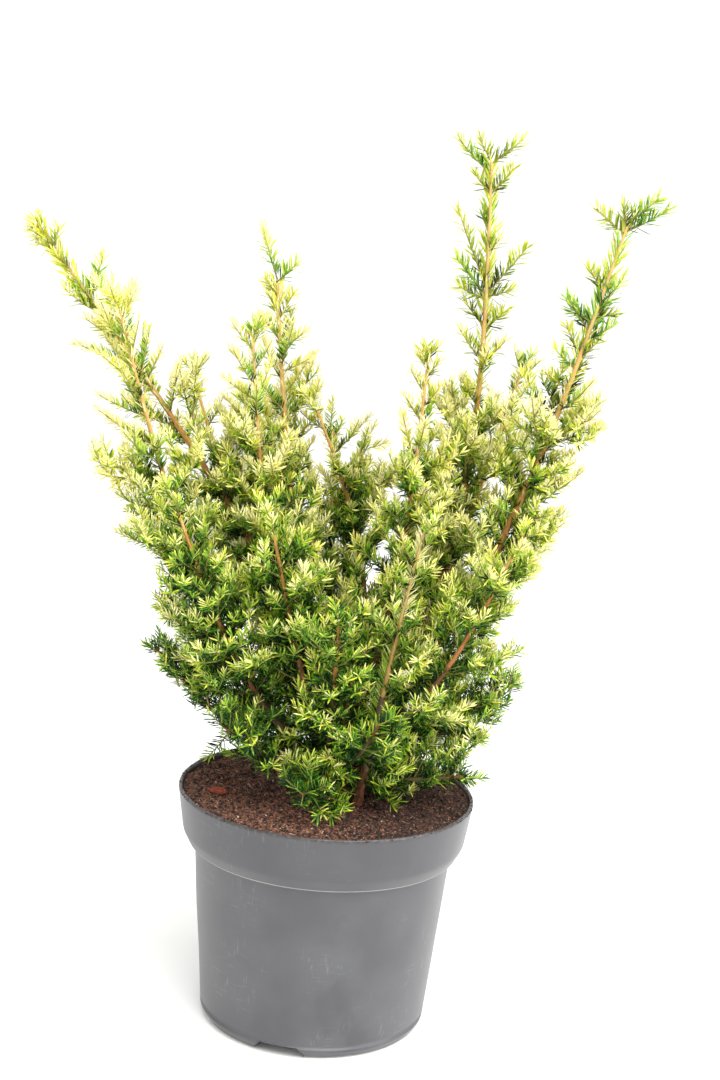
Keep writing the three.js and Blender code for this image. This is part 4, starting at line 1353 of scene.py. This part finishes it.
class YEW_OT_shoots(bpy.types.Operator):
    """Grow the leafy stems and all their shoots, one piece to each mass of foliage"""

    bl_idname = "yew.shoots"
    bl_label = "Stems and shoots"

    def execute(self, context):
        shoots = grown_shoots(context.scene.yew_growth)
        looks = bark_looks()
        for stem in stems:
            own = shoots[shoots["stem"] == stem.index]
            points, faces, kinds = self.stem_tube(stem)
            twig_points, twig_faces, twig_kinds = self.twig_tubes(own)
            shift = len(points)
            faces = [np.concatenate([a, b + shift]) for a, b in zip(faces, twig_faces)]
            kinds = [np.concatenate([a, b]) for a, b in zip(kinds, twig_kinds)]
            add_piece(f"shoots_{stem.name}", np.concatenate([points, twig_points]), faces, looks,
                      kinds=kinds)
        return {"FINISHED"}

    def stem_tube(self, stem):
        """The stem from its bough's tip to its own, ridged where the needles' feet run down it."""
        rings, sides = 70, 9
        t = np.linspace(stem.bare - 0.002 / stem.length, stem.tip, rings)
        relief = bark_relief(rings, sides, (1 - stem.bare) * stem.length, 0.01, stem.index + 40, 0.10)
        points = tubes(stem.point(t)[None], stem.radius(t)[None], stem.sideways[None], sides, relief[None])
        quads, triangles = ring_faces(rings, sides)
        age = np.clip((t[:-1] - stem.bare) / (1 - stem.bare), 0, 0.999)
        height = np.clip((stem.point(t[:-1])[:, 2] - 0.25) / 0.45, 0, 1)
        older = 0.25 if stem.end[2] < 0.36 else 0
        share = np.clip(0.5 * age + 0.5 * height - older, 0, 0.999)
        kind = np.floor(share * len(STEM_BARKS)).astype(int)
        if stem.index == FREE_INDEX:
            kind = np.where(age < 0.3, 0, 4 + (age > 0.6))
        ends = np.repeat([kind[0], kind[-1]], sides)
        return points.reshape(-1, 3), [quads, triangles], [np.repeat(kind, sides), ends]

    def twig_tubes(self, own):
        """The side shoots, thinner towards their tips, with bark by their order."""
        count, steps, sides = len(own), 4, 3
        s = np.linspace(0, 1, steps)
        lines = shoot_point(own[:, None], s)
        radii = mix(own["thick"][:, None], TWIG_TIP, s)
        points = tubes(lines, radii, own["side"], sides)
        faces = [repeated(part, count, points.shape[1]) for part in ring_faces(steps, sides)]
        kind = len(STEM_BARKS) + np.clip(own["order"] - 1, 0, 2)
        kinds = [np.repeat(kind, len(part) // count) for part in faces]
        return points.reshape(-1, 3), faces, kinds


class YEW_OT_needles(bpy.types.Operator):
    """Set the needles on every shoot, one piece to each mass of foliage"""

    bl_idname = "yew.needles"
    bl_label = "Needles"

    def execute(self, context):
        growth = context.scene.yew_growth
        shoots = grown_shoots(growth)
        looks = needle_looks()
        for stem in stems:
            luck = np.random.default_rng(1000 + stem.index)
            own = np.concatenate([shoots[shoots["stem"] == stem.index], stem_runs(stem)])
            points, shoot, s = needle_points(own, growth, luck)
            tone = 2 * tone_of(shoot, s, luck)
            outer = np.maximum(tone - 2, 0)
            # painted light: shoots higher up take the sunlit copies of their tones, dealt out shoot by shoot
            lot = np.sin(shoot["root"] @ [913.0, 1291.0, 577.0]) * 0.5 + 0.5
            most = SUN_MOST + SUN_LEADER * over_crown(shoot)
            share = np.minimum((shoot["root"][:, 2] - SUN_FROM) / SUN_OVER, most)
            sunlit = 2 * TONE_COUNT * (lot < share)
            tones = np.stack([tone + sunlit, outer + sunlit], 1)
            over_soil = np.hypot(points[:, -1, 0], points[:, -1, 1]) < POT_HIGH.x + 0.002
            clear = ~over_soil | (points[..., 2].min(1) > SOIL_HIGH.z - 0.001)
            points, tone, outer = points[clear], tones[clear, :1], tones[clear, 1:]
            faces = [repeated(part, len(points), BLADE_POINTS) for part in (BLADE_QUADS, BLADE_TRIANGLES)]
            kinds = [tone.ravel(), np.hstack([tone + [1, 1, 1], outer + [0, 1, 1]]).ravel()]
            add_piece(f"needles_{stem.name}", points, faces, looks,
                      [f"foliage_{stem.name}"], kinds, smooth=False)
        return {"FINISHED"}


# ----------------------------------------------------------------------------------------------------------
# Stage
# ----------------------------------------------------------------------------------------------------------

EXPOSURE, SURROUND = 0.25, 0.87
AIM = np.array([0, 0, 0.45])  # what the soft boxes face


class YEW_OT_stage(bpy.types.Operator):
    """Set up the pale floor, the soft lights and the camera"""

    bl_idname = "yew.stage"
    bl_label = "Stage"

    def execute(self, context):
        size = context.scene.yew_stage
        self.add_floor(size)
        self.add_lights(context)
        data = bpy.data.cameras.new("camera")
        data.lens, data.sensor_width, data.sensor_fit = size.focal, 36.0, "AUTO"
        camera = bpy.data.objects.new("camera", data)
        look = Matrix.Rotation(-size.yaw, 4, "Z") @ Matrix.Rotation(math.pi / 2 - size.pitch, 4, "X")
        camera.matrix_world = Matrix.Translation(size.place) @ look @ Matrix.Rotation(size.roll, 4, "Z")
        context.scene.collection.objects.link(camera)
        context.scene.camera = camera
        context.scene.view_settings.view_transform = "Standard"
        context.scene.view_settings.exposure = EXPOSURE
        return {"FINISHED"}

    def add_floor(self, size):
        """A flat disc that turns up into a low wall all round: radius and height along a quarter circle."""
        turn = np.linspace(0, math.pi / 2, 16)
        flat, bend, top = 5.0, 1.6, 2.6
        reach = np.concatenate([np.linspace(0.05, flat, 12), flat + bend * np.sin(turn[1:]), [flat + bend]])
        level = np.concatenate([np.zeros(12), bend * (1 - np.cos(turn[1:])), [top]])
        sides = 96
        angle = np.arange(sides) * TURN / sides
        x, y = reach[:, None] * np.cos(angle), reach[:, None] * np.sin(angle)
        points = np.stack([x, y, level[:, None] + 0 * angle], -1)
        quads, ends = (part[:, ::-1] for part in ring_faces(len(reach), sides))
        mesh = bpy.data.meshes.new("floor")
        mesh.from_pydata(np.concatenate([points.reshape(-1, 3), [(0, 0, 0)]]), [],
                         [*quads.tolist(), *ends[:sides].tolist()])
        mesh.polygons.foreach_set("use_smooth", np.ones(len(mesh.polygons), bool))
        mesh.materials.append(plain("matt_paper", size.floor_tint, 0.9))
        floor = bpy.data.objects.new("floor", mesh)
        bpy.context.scene.collection.objects.link(floor)

    def add_lights(self, context):
        """An even white surround, a broad soft box over the front, and a weaker one from each side."""
        world = bpy.data.worlds.new("studio")
        world.use_nodes = True
        background = world.node_tree.nodes["Background"]
        background.inputs["Color"].default_value = (1, 1, 1, 1)
        background.inputs["Strength"].default_value = SURROUND
        context.scene.world = world
        boxes = (
            ("over", (0.7, -1.6, 2.8), 2.4, 97),
            ("left", (-2.6, -1.2, 1.6), 1.8, 4),
            ("right", (2.6, -1.0, 1.4), 1.8, 35),
        )
        for name, place, width, power in boxes:
            data = bpy.data.lights.new(f"softbox_{name}", "AREA")
            data.shape, data.size, data.energy = "SQUARE", width, power
            lamp = bpy.data.objects.new(f"softbox_{name}", data)
            aim = AIM - np.array(place)
            lamp.rotation_euler = (
                math.atan2(math.hypot(aim[0], aim[1]), -aim[2]), 0, math.atan2(aim[0], -aim[1]) + math.pi
            )
            lamp.location = place
            context.scene.collection.objects.link(lamp)


# ----------------------------------------------------------------------------------------------------------
# Panel and registration
# ----------------------------------------------------------------------------------------------------------


class YEW_PT_panel(bpy.types.Panel):
    """Lists the pieces in the order in which they are made"""

    bl_idname = "YEW_PT_panel"
    bl_label = "Golden yew"
    bl_space_type = "VIEW_3D"
    bl_region_type = "UI"
    bl_category = "Yew"

    def draw(self, context):
        for operator, group in STEPS:
            box = self.layout.box()
            settings = getattr(context.scene, group)
            for key in settings.__annotations__:
                box.prop(settings, key)
            box.operator(operator.bl_idname)


STEPS = (
    (YEW_OT_stage, "yew_stage"),
    (YEW_OT_pot, "yew_pot"),
    (YEW_OT_soil, "yew_soil"),
    (YEW_OT_bark, "yew_bark"),
    (YEW_OT_shoots, "yew_growth"),
    (YEW_OT_needles, "yew_growth"),
)
GROUPS = {
    "yew_pot": YewPotSettings,
    "yew_soil": YewSoilSettings,
    "yew_bark": YewBarkSettings,
    "yew_growth": YewGrowthSettings,
    "yew_stage": YewStageSettings,
}


def register():
    for group in GROUPS.values():
        bpy.utils.register_class(group)
    for operator, _ in STEPS:
        bpy.utils.register_class(operator)
    bpy.utils.register_class(YEW_PT_panel)
    for name, group in GROUPS.items():
        setattr(bpy.types.Scene, name, bpy.props.PointerProperty(type=group))


def unregister():
    for name in GROUPS:
        delattr(bpy.types.Scene, name)
    bpy.utils.unregister_class(YEW_PT_panel)
    for operator, _ in STEPS:
        bpy.utils.unregister_class(operator)
    for group in GROUPS.values():
        bpy.utils.unregister_class(group)


def main():
    register()
    bpy.ops.yew.stage()
    bpy.ops.yew.pot()
    bpy.ops.yew.soil()
    bpy.ops.yew.bark()
    bpy.ops.yew.shoots()
    bpy.ops.yew.needles()


if __name__ == "__main__":
    main()
